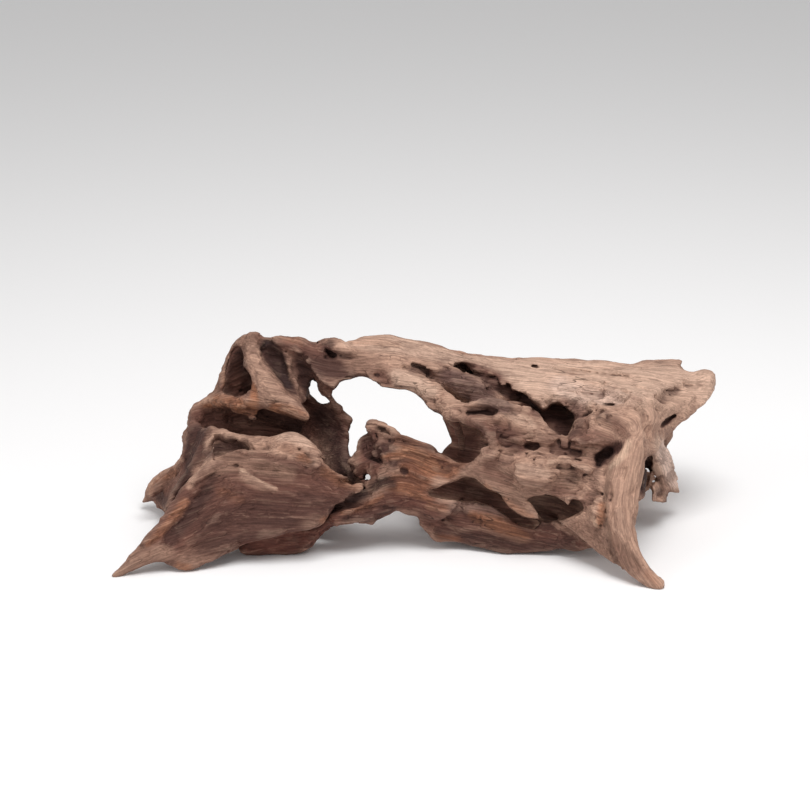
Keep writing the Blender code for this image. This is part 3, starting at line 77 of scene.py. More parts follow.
LENGTH = 0.450  # from the tip of the left foot to the tip of the right horn
STEP = LENGTH / 630.8  # one step of the ruled sheet that the outlines are drawn on
VIEW_DISTANCE = 1.7  # the sheet is drawn as seen from this far off
VIEW_TILT = math.radians(20)  # and from this far above level
DEPTH_SCALE = 0.87  # true depth for each step of drawn depth
SHEET_MIDDLE = 405  # sheet column and row that the line of sight passes through
FLOOR_ROW = 590  # sheet row of the floor at depth 0
CENTRE_X, CENTRE_Y = 0.01345, 0.05965  # moves the middle of the footprint onto the origin
LOW, HIGH = (104, 322, -16), (726, 604, 282)  # corners of the block that is carved
FAR = 60.0  # what the grid holds at first: well outside the wood
SEED = 11  # picks the random pattern
FOOT_PRESS = 0.0004  # anything this near the floor is pressed flat onto it
PATH_STEP = 5.0  # how closely a smooth curve is followed
SHEET_BEND = 4.0  # how gently a plate's depth bends at each of its anchors
MOST_THICKENED = 2.2  # the most that a steep plate is thickened, so that it keeps its true thickness
PLATE_REACH = 25  # how far a plate's depth may run past its anchors
SAME_SURFACE = 30  # a bigger jump in depth than this is another surface

# Outlines: (column, row) on the sheet. Tables ending in _DEPTH hold (column, row, depth, thickness).
WINDOW = [
    (336, 391), (336.5, 386), (339, 381.5), (345, 379.5), (354, 378), (361, 378), (371, 381),
    (377, 383), (381, 387.5), (393, 389), (407, 391), (416.5, 394), (423, 401.5), (429.5, 410),
    (437, 411.5), (441.5, 414), (445, 419), (447.5, 424), (450, 431), (452.5, 437), (453.5, 440),
    (452.5, 444), (448, 447.5), (445.5, 450), (443, 453.5), (439, 453.5), (436, 451.5), (432, 446.5),
    (423, 442.5), (414, 439.5), (400, 434.5), (395, 429.5), (389, 425.5), (380, 421.5), (371, 418.5),
    (365, 421), (363, 426), (367, 433), (361, 437), (357, 444), (356, 451), (352, 455), (351, 454),
    (349.5, 441), (350.5, 431), (353, 423), (353, 418), (346.5, 413), (338.5, 404),
]
CRESCENT = [
    (313, 379), (316, 385.5), (320.5, 394), (326, 395), (329.5, 400.5), (329, 403.5), (325, 404.3),
    (317.5, 401), (310.5, 392), (309.5, 384),
]
THROUGH = [(340, 400, 140, 300), (440, 400, 140, 300), (400, 450, 140, 300)]

FAN = [
    (128, 565), (144, 545), (163, 521), (177, 501), (190, 486), (192, 478), (202, 466), (217, 458),
    (236, 450), (250, 449), (262, 451), (280, 447), (300, 448), (315, 455), (322, 463), (335, 474),
    (350, 482), (364, 485), (364, 489), (354, 496), (340, 503), (332, 512), (318, 527), (290, 533),
    (262, 539), (238, 547), (218, 558), (199, 568), (185, 571), (174, 568), (157, 561), (137, 566),
]
FAN_DEPTH = [
    (125, 571, 38, 8), (150, 553, 42, 15), (185, 568, 50, 14), (165, 524, 66, 14), (190, 490, 82, 16),
    (215, 520, 52, 18), (240, 545, 66, 16), (240, 455, 84, 18), (240, 490, 62, 20), (290, 470, 58, 22),
    (290, 520, 62, 18), (330, 505, 70, 18), (362, 488, 78, 14), (287, 450, 66, 22), (318, 462, 64, 18),
    (262, 452, 74, 18),
]
FOOT = [
    (114.5, 576.3, 36, 3.0), (126, 568, 39, 5.4), (138, 558.5, 43, 7.5), (155, 546, 50, 9),
    (180, 523, 62, 12), (205, 489, 74, 12),
]
LUMP = [
    (222, 520), (238, 547), (243, 554), (256, 555.5), (269, 554.5), (291, 554.5), (306, 550.5),
    (320, 535.5), (335, 525.5), (366, 519), (372, 522), (393, 511), (380, 495), (340, 490), (260, 490),
]
LUMP_DEPTH = [
    (243, 555, 94, 18), (300, 553, 98, 18), (330, 528, 108, 20), (300, 510, 92, 22), (250, 520, 90, 22),
    (370, 520, 100, 16), (385, 500, 96, 16),
]
LOBE = [
    (141.5, 503), (147, 488), (153, 478), (164, 470), (179, 463), (186, 449), (186.5, 435),
    (189.5, 423), (190.5, 412), (202, 402), (222, 398), (250, 400), (262, 420), (262, 460), (230, 500),
    (190, 520), (172, 515), (165, 512), (158, 507), (154, 500), (149, 501.5),
]
LOBE_DEPTH = [
    (143, 501, 226, 8), (156, 485, 214, 18), (165, 508, 205, 12), (178, 465, 196, 22),
    (187, 430, 196, 24), (195, 408, 190, 24), (225, 400, 184, 24), (246, 404, 200, 24),
    (262, 418, 222, 24), (262, 440, 216, 24), (250, 455, 196, 24), (200, 455, 172, 24),
    (190, 500, 150, 24), (230, 490, 130, 24),
]
WALL = [
    (195, 405), (250, 395), (300, 385), (312, 395), (322, 404), (333, 400), (345, 412), (353, 419),
    (350, 430), (348, 442), (350, 458), (356, 466), (368, 490), (350, 515), (300, 530), (240, 520),
    (200, 480), (190, 440),
]
WALL_DEPTH = [
    (200, 420, 205, 22), (250, 425, 222, 22), (300, 425, 215, 22), (340, 430, 182, 18),
    (352, 425, 170, 14), (320, 400, 178, 16), (300, 390, 190, 20), (345, 465, 150, 20),
    (365, 490, 120, 18), (300, 480, 190, 24), (230, 470, 200, 24), (300, 525, 160, 24),
]
CREST = [
    (214, 393), (219, 379), (222.5, 367), (226.5, 357), (231, 348.5), (236, 341.5), (242.5, 336),
    (250, 333), (256, 332.5), (260, 335), (263, 338), (271, 338.5), (280, 336), (288, 337), (298, 338),
    (303, 340), (308, 343.5), (314, 347), (319, 344.5), (325, 341.5), (334, 340.5), (345, 345),
    (352, 372), (340, 380), (333, 390), (330, 398), (322, 396), (314, 378), (310, 385), (306, 398),
    (301, 406), (308, 418), (306, 420), (298, 418), (289, 415), (273, 410), (261, 409), (257, 412),
    (256, 419), (248, 418), (232, 410), (216, 407), (204, 402),
]
CREST_DEPTH = [(210, 402, 178, 16), (222, 370, 172, 18), (237, 345, 166, 22), (256, 336, 156, 26),
               (290, 338, 158, 26), (320, 345, 158, 24), (340, 360, 150, 20), (330, 390, 150, 12),
               (250, 370, 150, 26), (255, 395, 140, 22), (285, 400, 132, 18), (304, 417, 118, 10),
               (300, 375, 158, 22), (275, 360, 160, 24), (254, 416, 138, 12), (230, 403, 155, 14),
               (312, 400, 170, 14)]
BEAM = [
    (300, 340), (314, 347), (319, 344), (325, 341), (334, 340), (345, 345), (352, 343), (360, 338),
    (376, 335.5), (390, 335.5), (405, 339.5), (430, 344), (450, 351), (466, 355.5), (480, 358),
    (500, 361.5), (520, 368), (512, 384), (502, 386), (492, 378), (480, 372), (462, 364), (452, 367),
    (440, 372), (436, 384), (450, 392), (460, 400), (470, 398), (500, 408), (500, 430), (460, 424),
    (452, 432), (444, 420), (440, 412), (434, 412), (430, 410), (423, 401), (416, 394), (407, 391),
    (393, 389), (381, 387), (377, 382), (361, 377), (345, 379), (334, 388), (320, 380), (305, 360),
]
BEAM_DEPTH = [
    (310, 350, 160, 26), (345, 350, 160, 28), (345, 375, 150, 20), (376, 340, 168, 24),
    (380, 375, 142, 20), (410, 345, 174, 24), (415, 390, 130, 18), (440, 408, 118, 16),
    (450, 355, 186, 24), (500, 364, 204, 24), (470, 366, 176, 20), (446, 395, 114, 16),
    (395, 365, 146, 26), (470, 405, 102, 18), (495, 420, 92, 18), (455, 425, 102, 12),
    (430, 370, 150, 20),
]
FACE = [
    (436, 384), (452, 394), (464, 404), (476, 400), (488, 399), (495, 401), (512, 406), (524, 405),
    (534, 412), (538, 422), (549, 428), (564, 439), (590, 430), (620, 420), (640, 440), (638, 500),
    (632, 520), (612, 540), (592, 520), (584, 505), (578, 500), (572, 499), (568, 505), (563, 500),
    (551, 495), (540, 495), (530, 499), (535, 510), (541, 519), (535, 520), (522, 516), (509, 507),
    (499, 494), (487, 488), (481, 483), (476, 478), (466, 476), (457, 479), (446, 485), (425, 490),
    (400, 500), (390, 480), (400, 440), (423, 444), (432, 448), (438, 454), (443, 455), (448, 448),
    (453, 440), (446, 420), (440, 410),
]
FACE_DEPTH = [
    (440, 400, 116, 14), (475, 403, 98, 18), (500, 405, 90, 18), (530, 412, 88, 16), (560, 437, 80, 18),
    (500, 440, 82, 22), (540, 450, 76, 22), (540, 475, 66, 22), (580, 460, 72, 24), (620, 430, 70, 26),
    (620, 490, 44, 26), (590, 500, 50, 22), (560, 497, 62, 18), (541, 518, 70, 8), (505, 495, 78, 12),
    (470, 468, 88, 18), (440, 475, 92, 18), (410, 470, 92, 20), (480, 460, 84, 20), (455, 425, 106, 12),
]
LINK = [
    (365, 424), (371, 419), (380, 421), (389, 425.5), (395, 429.5), (400, 434.5), (414, 439.5),
    (423, 442.5), (432, 446.5), (440, 454), (450, 470), (460, 500), (440, 520), (421, 515), (414, 511),
    (400, 509.5), (393, 509), (380, 515.5), (372, 523), (367, 521), (345, 522.5), (336, 526),
    (330, 520), (335, 512), (343, 505), (352, 500), (360, 494), (366, 488), (360, 482), (351, 470),
    (349, 460), (355, 452), (357, 445), (361, 438), (368, 433),
]
LINK_DEPTH = [
    (369, 424, 104, 12), (385, 430, 102, 18), (410, 445, 98, 22), (440, 462, 98, 20),
    (440, 500, 96, 24), (415, 480, 88, 26), (385, 465, 92, 24), (360, 455, 108, 16),
    (362, 480, 108, 16), (385, 500, 88, 22), (345, 515, 84, 18), (370, 520, 90, 12), (412, 511, 98, 16),
]
PLANK = [
    (405, 495), (425, 494), (440, 498), (458, 500), (481, 502), (500, 506), (520, 512), (545, 520),
    (580, 518), (605, 530), (600, 545), (592, 547.5), (578, 550.5), (560, 548), (545, 551), (520, 553),
    (502, 553), (484, 548), (452, 542), (436, 541), (428, 533), (420, 525), (419, 516), (405, 512),
]
PLANK_DEPTH = [
    (410, 503, 98, 20), (425, 530, 104, 16), (436, 540, 108, 14), (480, 545, 104, 14),
    (510, 552, 98, 14), (560, 547, 92, 16), (592, 545, 76, 16), (480, 515, 108, 24),
    (540, 528, 104, 26), (590, 525, 80, 24), (450, 505, 112, 24),
]
TABLE = [
    (500, 361), (512, 361.5), (527, 358.5), (571, 359.5), (607, 361.5), (632, 365.5), (643, 361),
    (661, 360.5), (679, 360), (682.5, 361), (679.5, 366), (689, 372), (704, 370.5), (712, 372),
    (715, 379), (713.5, 390), (706.5, 401), (694.5, 412.5), (680.5, 423), (667, 434), (660, 446),
    (650, 455), (620, 440), (590, 445), (566, 440), (574, 424), (560, 408), (543, 411), (532, 401),
    (523, 393), (512, 391), (502, 386), (495, 374),
]
TABLE_DEPTH = [
    (500, 364, 204, 24), (512, 388, 160, 20), (530, 395, 140, 20), (545, 410, 118, 18),
    (571, 365, 226, 24), (560, 385, 172, 26), (580, 405, 116, 24), (600, 400, 130, 28),
    (600, 425, 76, 24), (570, 438, 84, 20), (625, 440, 66, 24), (632, 370, 222, 26),
    (679, 364, 236, 22), (712, 380, 196, 24), (700, 400, 180, 22), (668, 436, 150, 18),
    (650, 450, 92, 20), (650, 400, 132, 28), (640, 420, 92, 26),
]
FLANGE = [(654, 440), (662, 443), (671, 456), (675.5, 472), (675.5, 481), (679, 492), (669.5, 491.5),
          (666.5, 496), (666, 502), (652.5, 501), (653.5, 492), (652, 486), (656, 478), (652, 462)]
FLANGE_DEPTH = [
    (655, 445, 120, 16), (667, 446, 150, 14), (675, 475, 186, 12), (653, 482, 156, 12),
    (679, 491, 196, 8), (665, 465, 160, 14), (655, 500, 150, 12), (666, 500, 170, 12),
]
LEG = [
    (600, 430), (640, 430), (645, 450), (642, 470), (636, 490), (631.5, 510), (633, 530), (635, 545),
    (638.5, 557), (648, 571), (658.5, 578.5), (663, 586), (661, 589.5), (656, 589.5), (646, 584.5),
    (624.5, 569), (612, 561.5), (600, 553.5), (591, 545.5), (577, 534), (565, 526), (552, 521),
    (562, 516), (580, 512), (592, 500), (600, 470),
]
LEG_DEPTH = [
    (620, 440, 66, 28), (640, 450, 74, 26), (618, 490, 44, 26), (636, 500, 50, 20), (556, 520, 74, 10),
    (578, 530, 62, 14), (594, 545, 52, 12), (600, 520, 46, 22), (620, 530, 34, 24), (634, 535, 34, 18),
    (622, 562, 26, 14), (640, 565, 18, 16), (655, 580, 8, 12), (661, 588, 5, 9),
]
STUMP = [(636, 470), (646, 470), (644.5, 489), (643, 498), (634, 499)]
STUMP_DEPTH = [(636, 480, 92, 22), (645, 480, 100, 18), (640, 498, 96, 18)]
BACK = [
    (420, 470), (640, 470), (636, 494), (612, 508), (585, 527), (556, 534), (520, 534), (490, 529),
    (470, 519), (436, 508), (420, 498),
]
BACK_DEPTH = [
    (430, 480, 165, 16), (630, 480, 205, 16), (500, 524, 160, 14), (560, 526, 158, 14),
    (540, 470, 180, 16), (610, 500, 190, 14),
]
TUNNEL_BACK = [
    (440, 408), (480, 406), (500, 430), (495, 462), (470, 472), (450, 470), (438, 458), (436, 440),
]
TUNNEL_BACK_DEPTH = [(442, 420, 172, 14), (490, 430, 176, 16), (460, 465, 160, 14), (442, 455, 156, 12)]
CHEEK = [
    (186, 437), (198, 430), (212, 431), (214, 450), (206, 470), (196, 487), (180, 503), (171, 512),
    (161, 504), (168, 483), (184, 463),
]
CHEEK_DEPTH = [
    (184, 440, 194, 14), (200, 434, 150, 14), (212, 434, 128, 12), (204, 452, 116, 12),
    (194, 484, 100, 12), (178, 462, 192, 14), (190, 462, 150, 14), (182, 480, 150, 14),
    (163, 500, 192, 12), (176, 500, 132, 12),
]
KNOB = [(514, 464), (533, 460), (553, 462), (564, 470.6), (554, 483), (538.6, 487), (517, 481)]
KNOB_DEPTH = [(514, 472, 60, 14), (540, 470, 54, 16), (562, 471, 58, 14), (540, 484, 56, 14)]

POCKET = [
    (237, 347), (243, 350), (245, 358), (244, 365), (250, 371), (254.5, 377), (255, 383),
    (251.5, 390.5), (244, 395.5), (233, 397.5), (225, 395), (222, 388), (224, 378), (228, 363),
    (232, 352),
]
POCKET_DEPTH = [(222, 390, 130, 100), (250, 385, 128, 100), (240, 350, 140, 80)]
TUNNEL = [
    (446, 419.5), (460, 420.5), (475, 427), (487, 438), (489, 444), (484, 450), (478, 458), (470, 463),
    (458, 463), (446, 456), (440, 451), (444, 440), (441, 428),
]
TUNNEL_DEPTH = [(450, 430, 96, 120), (480, 440, 96, 120), (460, 460, 92, 110)]
EYE_SLOT = [(468, 410.5, 85, 4), (476, 410, 85, 5), (486, 410, 84, 5), (494, 411.5, 83, 3.8)]
EYE_FLOOR = [(469, 413, 88, 3), (480, 413.5, 90, 3.5), (492, 413.5, 87, 3)]
TUNNEL_STRUT = [(452, 417, 112, 5), (457, 427, 120, 4), (461, 437, 134, 3.5), (462, 448, 150, 3)]
GAP = [
    (428, 489), (445.5, 484.6), (457, 479.5), (466, 476.4), (476, 477.6), (481, 483), (488, 488.5),
    (499, 494), (509, 508), (522, 516.5), (535, 520), (541, 523), (530, 532), (514, 522), (496.5, 509),
    (481, 502.5), (458, 501), (440, 499), (428, 496),
]
GAP_DEPTH = [(424, 490, 80, 120), (540, 525, 75, 120), (480, 480, 90, 120), (480, 505, 90, 120)]
CAVE = [
    (531, 499), (551, 495.5), (564, 501), (568, 506), (572, 500), (581, 504), (579, 512), (569, 518),
    (556, 521), (545, 521), (541, 517), (534, 508),
]
CAVE_DEPTH = [(531, 500, 70, 130), (580, 505, 60, 120), (556, 520, 80, 120)]
CHANNEL = [
    (446, 370), (452, 366.5), (462, 362.5), (483, 373), (491, 374.5), (495, 379), (501.6, 385),
    (510, 384), (512, 391), (523, 393), (532, 400.5), (543, 410), (552, 404), (561, 405), (570, 411),
    (575, 417), (573, 427), (569, 435), (564, 440), (549, 428.5), (538, 423), (534, 413), (524, 406),
    (512, 407), (495, 402.5), (488.5, 400.5), (476.6, 401), (464.7, 405.5), (457, 400.4), (450.6, 395),
    (442, 386), (440, 376),
]
CHANNEL_DEPTH = [(440, 380, 75, 140), (560, 420, 60, 160), (500, 380, 85, 150), (500, 420, 70, 140)]

# Round limbs of solid wood behind the faces: (column, row, depth, radius) along each.
CORES = {
    "behind the face": [(450, 400, 196, 20), (500, 415, 186, 36), (540, 432, 172, 46),
        (600, 430, 165, 48), (640, 425, 175, 34)],
    "root of the leg": [(600, 440, 110, 30), (610, 470, 90, 28), (618, 500, 60, 18)],
    "behind the fan": [(240, 430, 215, 26), (280, 460, 200, 30), (300, 480, 180, 26)],
    "behind the crest": [(231, 392, 198, 13), (244, 368, 196, 17), (262, 359, 188, 20),
        (300, 362, 184, 20), (330, 364, 172, 16)],
    "behind the pocket": [(240, 353, 200, 6), (245, 370, 205, 9), (249, 386, 202, 10)],
    "behind the channel": [(436, 372, 196, 14), (470, 380, 206, 20), (510, 388, 206, 24),
        (550, 400, 190, 24)],
    "low at the back": [(446, 470, 170, 20), (500, 478, 190, 24), (560, 480, 190, 24),
        (610, 480, 180, 20)],
    "back leg, middle": [(452, 480, 185, 14), (458, 496, 200, 12), (462, 514, 212, 10)],
    "back leg, right": [(560, 480, 200, 18), (600, 486, 222, 14), (617, 494, 238, 11),
        (622, 502, 244, 8.5)],
    "brow of the back": [(380, 354, 184, 11), (430, 365, 198, 13), (500, 381, 218, 15),
        (580, 384, 224, 16), (650, 388, 214, 14)],
    "behind the flange": [(640, 448, 140, 14), (643, 470, 150, 11), (641, 484, 150, 8.5)],
}

# Plates, joined in this order: outline, depths, how softly each joins, how softly its rim is rounded.
PLATES = [
    (BACK, BACK_DEPTH, 14, 6), (WALL, WALL_DEPTH, 10, 10), (LOBE, LOBE_DEPTH, 10, 8),
    (LUMP, LUMP_DEPTH, 8, 8), (FAN, FAN_DEPTH, 8, 10), (CREST, CREST_DEPTH, 10, 8),
    (BEAM, BEAM_DEPTH, 10, 8), (TABLE, TABLE_DEPTH, 10, 8), (FACE, FACE_DEPTH, 8, 6),
    (PLANK, PLANK_DEPTH, 6, 6), (LINK, LINK_DEPTH, 8, 6), (FLANGE, FLANGE_DEPTH, 5, 4),
    (LEG, LEG_DEPTH, 8, 6), (STUMP, STUMP_DEPTH, 4, 4), (TUNNEL_BACK, TUNNEL_BACK_DEPTH, 10, 6),
    (CHEEK, CHEEK_DEPTH, 10, 6),
]
LEG_SPINE = [
    (616, 500, 42, 15), (619, 530, 31, 15), (630, 556, 20, 10.5), (644.5, 574, 12, 7.5),
    (658, 584, 7, 4.5),
]
INNER_BRANCH = [
    (440, 376, 146, 10), (458, 384, 142, 13), (476, 392, 142, 14), (494, 401, 150, 11),
    (512, 409, 160, 9), (530, 416, 168, 8),
]
BANK = [
    (472, 368, 168, 4), (485, 376, 162, 7), (497, 384, 161, 8), (509, 392, 161, 7), (518, 398, 163, 4),
]
UPPER_STRAND = [(446, 371, 146, 5), (462, 376, 148, 6), (480, 386, 152, 6), (500, 396, 160, 6)]
LIP = [
    (211, 433, 126, 3.5), (222, 435, 118, 5), (238, 440, 106, 6), (256, 444, 92, 8), (275, 447, 78, 11),
    (290, 446, 68, 14), (303, 452, 62, 13), (311, 457, 60, 11),
]
LIP_END = [
    (211, 433, 126, 4), (206, 441, 121, 4.5), (200, 452, 115, 5), (195, 465, 107, 5.5),
    (189, 482, 98, 7),
]
NECK = [
    (324, 387, 156, 6), (328, 394, 158, 3.2), (331.7, 400, 160, 2.1), (333.2, 403.5, 163, 2.6),
    (338, 409, 168, 5),
]
PINHOLE = [(365, 480, 60, 3.4), (372, 473, 160, 3.6)]

# How softly each of these joins or cuts: limbs after the plates, limbs inside the channel, then the cut
# plates, whose last numbers are the rounding of the rim and how far the cut keeps inside its outline.
CORE_SOFTNESS, HOLLOW_SOFTNESS, HOLE_SOFTNESS = 18, 8, 2
OUTER_LIMBS = [(FOOT, 10), (LEG_SPINE, 8)]
INNER_LIMBS = [(INNER_BRANCH, 4), (UPPER_STRAND, 3), (BANK, 4), (LIP, 8), (LIP_END, 8)]
CHANNEL_CUT = (CHANNEL, CHANNEL_DEPTH, 4, 6)
KNOB_JOIN = (KNOB, KNOB_DEPTH, 3, 5)
POCKET_CUT = (POCKET, POCKET_DEPTH, 3, 6)
LOW_CUTS = [(GAP, GAP_DEPTH, 3, 6), (TUNNEL, TUNNEL_DEPTH, 3, 6), (CAVE, CAVE_DEPTH, 3, 6)]
STRUT_SOFTNESS, SLOT_SOFTNESS, NECK_SOFTNESS = 4, 1.5, 2
THROUGH_CUTS = [(WINDOW, THROUGH, 4, 6, 1.0), (CRESCENT, THROUGH, 3, 6, 0.5)]

# Hollows worn in from behind: (column, row, depth, radius) along each.
BACK_HOLLOWS = {
    "left hollow": [(262, 425, 262, 20), (268, 436, 236, 14), (276, 446, 214, 8)],
    "crest hollow": [(276, 366, 232, 17), (284, 372, 208, 10)],
    "beam scoop": [(400, 366, 214, 13), (440, 378, 222, 12)],
    "shoulder hollow": [(508, 410, 246, 18), (512, 414, 216, 11)],
    "middle hollow": [(566, 434, 238, 24), (560, 440, 208, 15), (552, 446, 178, 8)],
    "right hollow": [(628, 420, 232, 16), (622, 428, 200, 9)],
    "low hollow": [(528, 490, 232, 15), (534, 488, 206, 9)],
    "groove": [(470, 440, 214, 9), (500, 452, 224, 8), (540, 462, 222, 7)],
}
# Flutes and knots worn into the hidden sides.
FLUTE_DEPTH = 5.0
FLUTE_LENGTH, FLUTE_WIDTH = 64, 15
FLUTE_RIDGE = 0.6  # how much of each flute stands proud
WANDER, WANDER_LENGTH, WANDER_WIDTH = 6, 70, 40  # how far the flutes wander, and over what distance
KNOT_DEPTH = 0.45  # against the depth of a flute
KNOT_LENGTH, KNOT_WIDTH = 17, 11
KNOT_SHIFT = 9  # keeps the knots apart from the flutes
FLUTES_BEGIN, FLUTES_FULL = 12, 28  # how far behind the front they begin, and are full
RIM_KEPT = 9  # nearer the outline than this the wood keeps its drawn edge

# Relief laid on the front: kind, name, (column, row, lift, radius) along it, then its softness.
# A ridge adds, a hollow cuts, and a hole is sunk straight in; its third number is how deep it goes.
HOLE_STEP, HOLE_TAPER = 2.5, 0.7  # spacing of the bores that make up a hole, and how they narrow
RELIEF = [
    ("ridge", "main fold of the crest", [(253, 340, -4, 8), (254, 354, -3, 9), (257, 367, -4, 9),
        (263, 380, -5, 11), (273, 393, -6, 13), (286, 403, -5, 11), (298, 412, -3, 7),
        (305, 418, -1, 4)], 6),
    ("hollow", "cheek of the crest", [(265, 343, 3, 4), (271, 351, 0, 8), (277, 361, -1, 9),
        (283, 371, 0, 8), (289, 382, 2, 6), (293, 391, 3, 4)], 8),
    ("hollow", "notch of the crest", [(264, 337, 1, 3.5), (268, 340, 1, 3)], 2),
    ("ridge", "thin fold", [(284, 352, 0, 3), (289, 362, 0, 3.5), (292, 372, 0, 3.5),
        (296, 384, 0, 3.5), (303, 396, -1, 3)], 3),
    ("hollow", "behind the thin fold", [(294, 354, 4, 4), (299, 362, 2, 6), (304, 371, 1, 7),
        (305, 383, 1, 6.5), (305, 394, 3, 5)], 5),
    ("ridge", "brow of the crest", [(278, 342, 0, 3), (290, 345, -1, 4), (302, 349, -1, 4),
        (314, 354, 0, 4)], 5),
    ("hole", "beam pit", [(327, 348, 5, 3), (330, 352, 9, 5), (334, 355, 9, 4.5), (326, 357, 5, 3)], 2),
    ("hole", "under the brow", [(340, 355, 5, 2.5), (346, 356, 5, 3), (353, 356, 3, 2)], 2),
    ("ridge", "beam brow", [(330, 346, -1, 3.5), (342, 350, -1, 4), (352, 353, -2, 4)], 4),
    ("hollow", "beam root", [(305, 350, 6, 9), (318, 362, 6, 10), (330, 372, 7, 10)], 6),
    ("ridge", "second fibre of the ledge", [(212, 408, -1, 2.5), (228, 409, -1, 2.5),
        (243, 412, -1, 2.5), (255, 417, -1, 2)], 2),
    ("ridge", "wave of the beam", [(350, 344, -1, 3), (366, 342, -1, 3.5), (384, 345, -1, 3.5),
        (402, 352, -1, 3)], 4),
    ("hollow", "scoop of the beam", [(378, 375, 2, 6), (388, 381, 2, 6)], 4),
    ("ridge", "shoulder of the beam", [(396, 372, -1, 4), (404, 380, -1, 5), (418, 384, -1, 5),
        (430, 394, -1, 4)], 4),
    ("hollow", "crack above the shoulder", [(396, 368, 1, 3), (408, 367, 0, 3.5), (420, 370, 0, 4),
        (430, 375, 0, 4)], 2),
    ("hole", "dark of the crack", [(412, 365, 4, 1.8), (421, 368, 7, 2.6), (428, 373, 7, 3),
        (434, 378, 6, 2.6)], 2),
    ("ridge", "ledge under the pocket", [(208, 401, -2, 5), (222, 401, -2, 6), (238, 403, -2, 6),
        (252, 400, -2, 6)], 5),
    ("hollow", "under the ledge", [(226, 412, 6, 8), (240, 420, 6, 9)], 4),
    ("ridge", "prong of the crest", [(222, 364, -1, 3), (221.5, 374, 0, 3), (221.5, 386, -1, 3)], 3),
    ("ridge", "spine of the lobe", [(198, 416, -3, 7), (194, 436, -3, 7), (188, 456, -3, 6),
        (170, 477, -3, 5), (151, 494, -2, 4)], 6),
    ("hollow", "behind the spine", [(210, 420, 5, 9), (206, 440, 5, 9), (194, 462, 6, 8),
        (182, 484, 7, 8)], 6),
    ("ridge", "tooth of the lobe", [(186, 478, -2, 4), (176, 492, -1, 4), (169, 507, -1, 4)], 4),
    ("hollow", "under the lip", [(198, 470, 2, 4), (203, 460, -1, 5.5), (208, 451, -4, 7.5),
        (217, 446, -6, 8), (229, 445.5, -6, 7.5), (240, 447, -4, 5.5), (250, 449, -1, 3.5)], 5),
    ("ridge", "edge of the fan", [(192, 483, -2, 5), (178, 502, -2, 5), (162, 525, -2, 5),
        (146, 544, -1, 4)], 5),
    ("hollow", "valley of the fan", [(214, 484, 12, 18), (196, 510, 12, 18), (176, 538, 12, 16)], 8),
    ("hollow", "above the scar", [(258, 468, 9, 13), (280, 473, 9, 14), (300, 478, 9, 12)], 6),
    ("ridge", "lobe beside the rim", [(196, 482, -1, 4), (203, 474, -1, 5), (212, 468, -1, 5),
        (222, 464, -1, 4)], 4),
    ("hollow", "furrow of the fan", [(206, 492, 3, 6), (196, 505, 3, 7), (184, 521, 3, 7),
        (171, 537, 3, 6)], 5),
    ("hollow", "notch above the scar", [(236, 465, 0, 3)], 2),
    ("ridge", "wave above the scar", [(252, 462, -1, 3), (272, 462, -1, 4), (292, 466, -1, 4),
        (308, 472, -1, 3)], 4),
    ("ridge", "back of the fan's tip", [(318, 466, -1, 3.5), (334, 474, -1, 3.5),
        (350, 481, -1, 3.5)], 4),
    ("ridge", "leaf-shaped scar", [(240, 471, -2, 3.5), (250, 480, -1.5, 5), (263, 486, -1.5, 4.5),
        (276, 489, -1, 2)], 2),
    ("hollow", "fan beside the knob", [(322, 476, 6, 9), (340, 486, 6, 9), (356, 489, 6, 8)], 5),
    ("hollow", "low on the fan", [(260, 512, 14, 19), (230, 528, 14, 18), (205, 548, 12, 16)], 8),
    ("hollow", "cleft beside the fan", [(340, 509, 1, 4), (352, 503, 0, 4.5), (362, 497, 0, 4.5),
        (371, 489, 0, 5), (376, 478, 2, 4)], 3),
    ("ridge", "horn knot of the link", [(371, 424.5, -2, 5), (385, 431, -3, 6), (398, 439, -3, 6)], 4),
    ("hollow", "cheek of the link", [(366, 444, 4, 8), (370, 455, 3, 9), (378, 464, 4, 8)], 5),
    ("ridge", "round the pinhole", [(357, 474, -2, 4), (361, 465, -1, 4), (371, 463, -1, 4),
        (380, 470, -1, 4), (383, 484, -2, 4)], 3),
    ("hollow", "eye of the swirl", [(404, 470, -1, 4.5)], 2),
    ("hole", "slot of the horn knot", [(379, 427, 3, 1.8), (384, 431, 4, 2.4),
        (389, 434, 3, 1.8)], 1.5),
    ("ridge", "strand down the knot", [(370, 430, 0, 3), (377, 440, 0, 3), (386, 449, 0, 3),
        (392, 458, 0, 3)], 2),
    ("ridge", "second strand down the knot", [(366, 440, 0, 2.5), (371, 450, 0, 2.5),
        (378, 459, 0, 2.5)], 2),
    ("ridge", "wave of the link", [(396, 444, -1, 3), (410, 449, -1, 3.5), (424, 453, -1, 3.5),
        (438, 460, -1, 3.5), (452, 464, -1, 3)], 3),
    ("hollow", "groove of the link", [(410, 478, 2, 4), (420, 485, 2, 4), (430, 490, 2, 4)], 3),
    ("ridge", "lower wave of the link", [(392, 492, -1, 3), (406, 495, -1, 3.5), (420, 499, -1, 3.5),
        (436, 505, -1, 3)], 3),
    ("hollow", "cut under the wave", [(412, 500, 1, 2.5), (424, 503, 1, 2.5), (436, 509, 1, 2)], 2),
    ("ridge", "swirl", [(392, 466, -1, 4), (398, 457, -1, 4), (410, 456, -1, 4), (418, 464, -1, 4),
        (424, 476, -1, 4)], 4),
    ("ridge", "strand of the link", [(334, 516, -1, 3), (352, 511, -1, 3.5), (368, 505, -1, 4),
        (382, 494, -1, 4), (394, 486, -1, 4)], 3),
    ("hollow", "under the strand", [(340, 521, 2, 3.5), (360, 515, 1, 4.5), (382, 506, 2, 5)], 3),
    ("hollow", "shoulder of the link", [(412, 452, 8, 12), (428, 462, 8, 12), (446, 470, 9, 12)], 6),
]
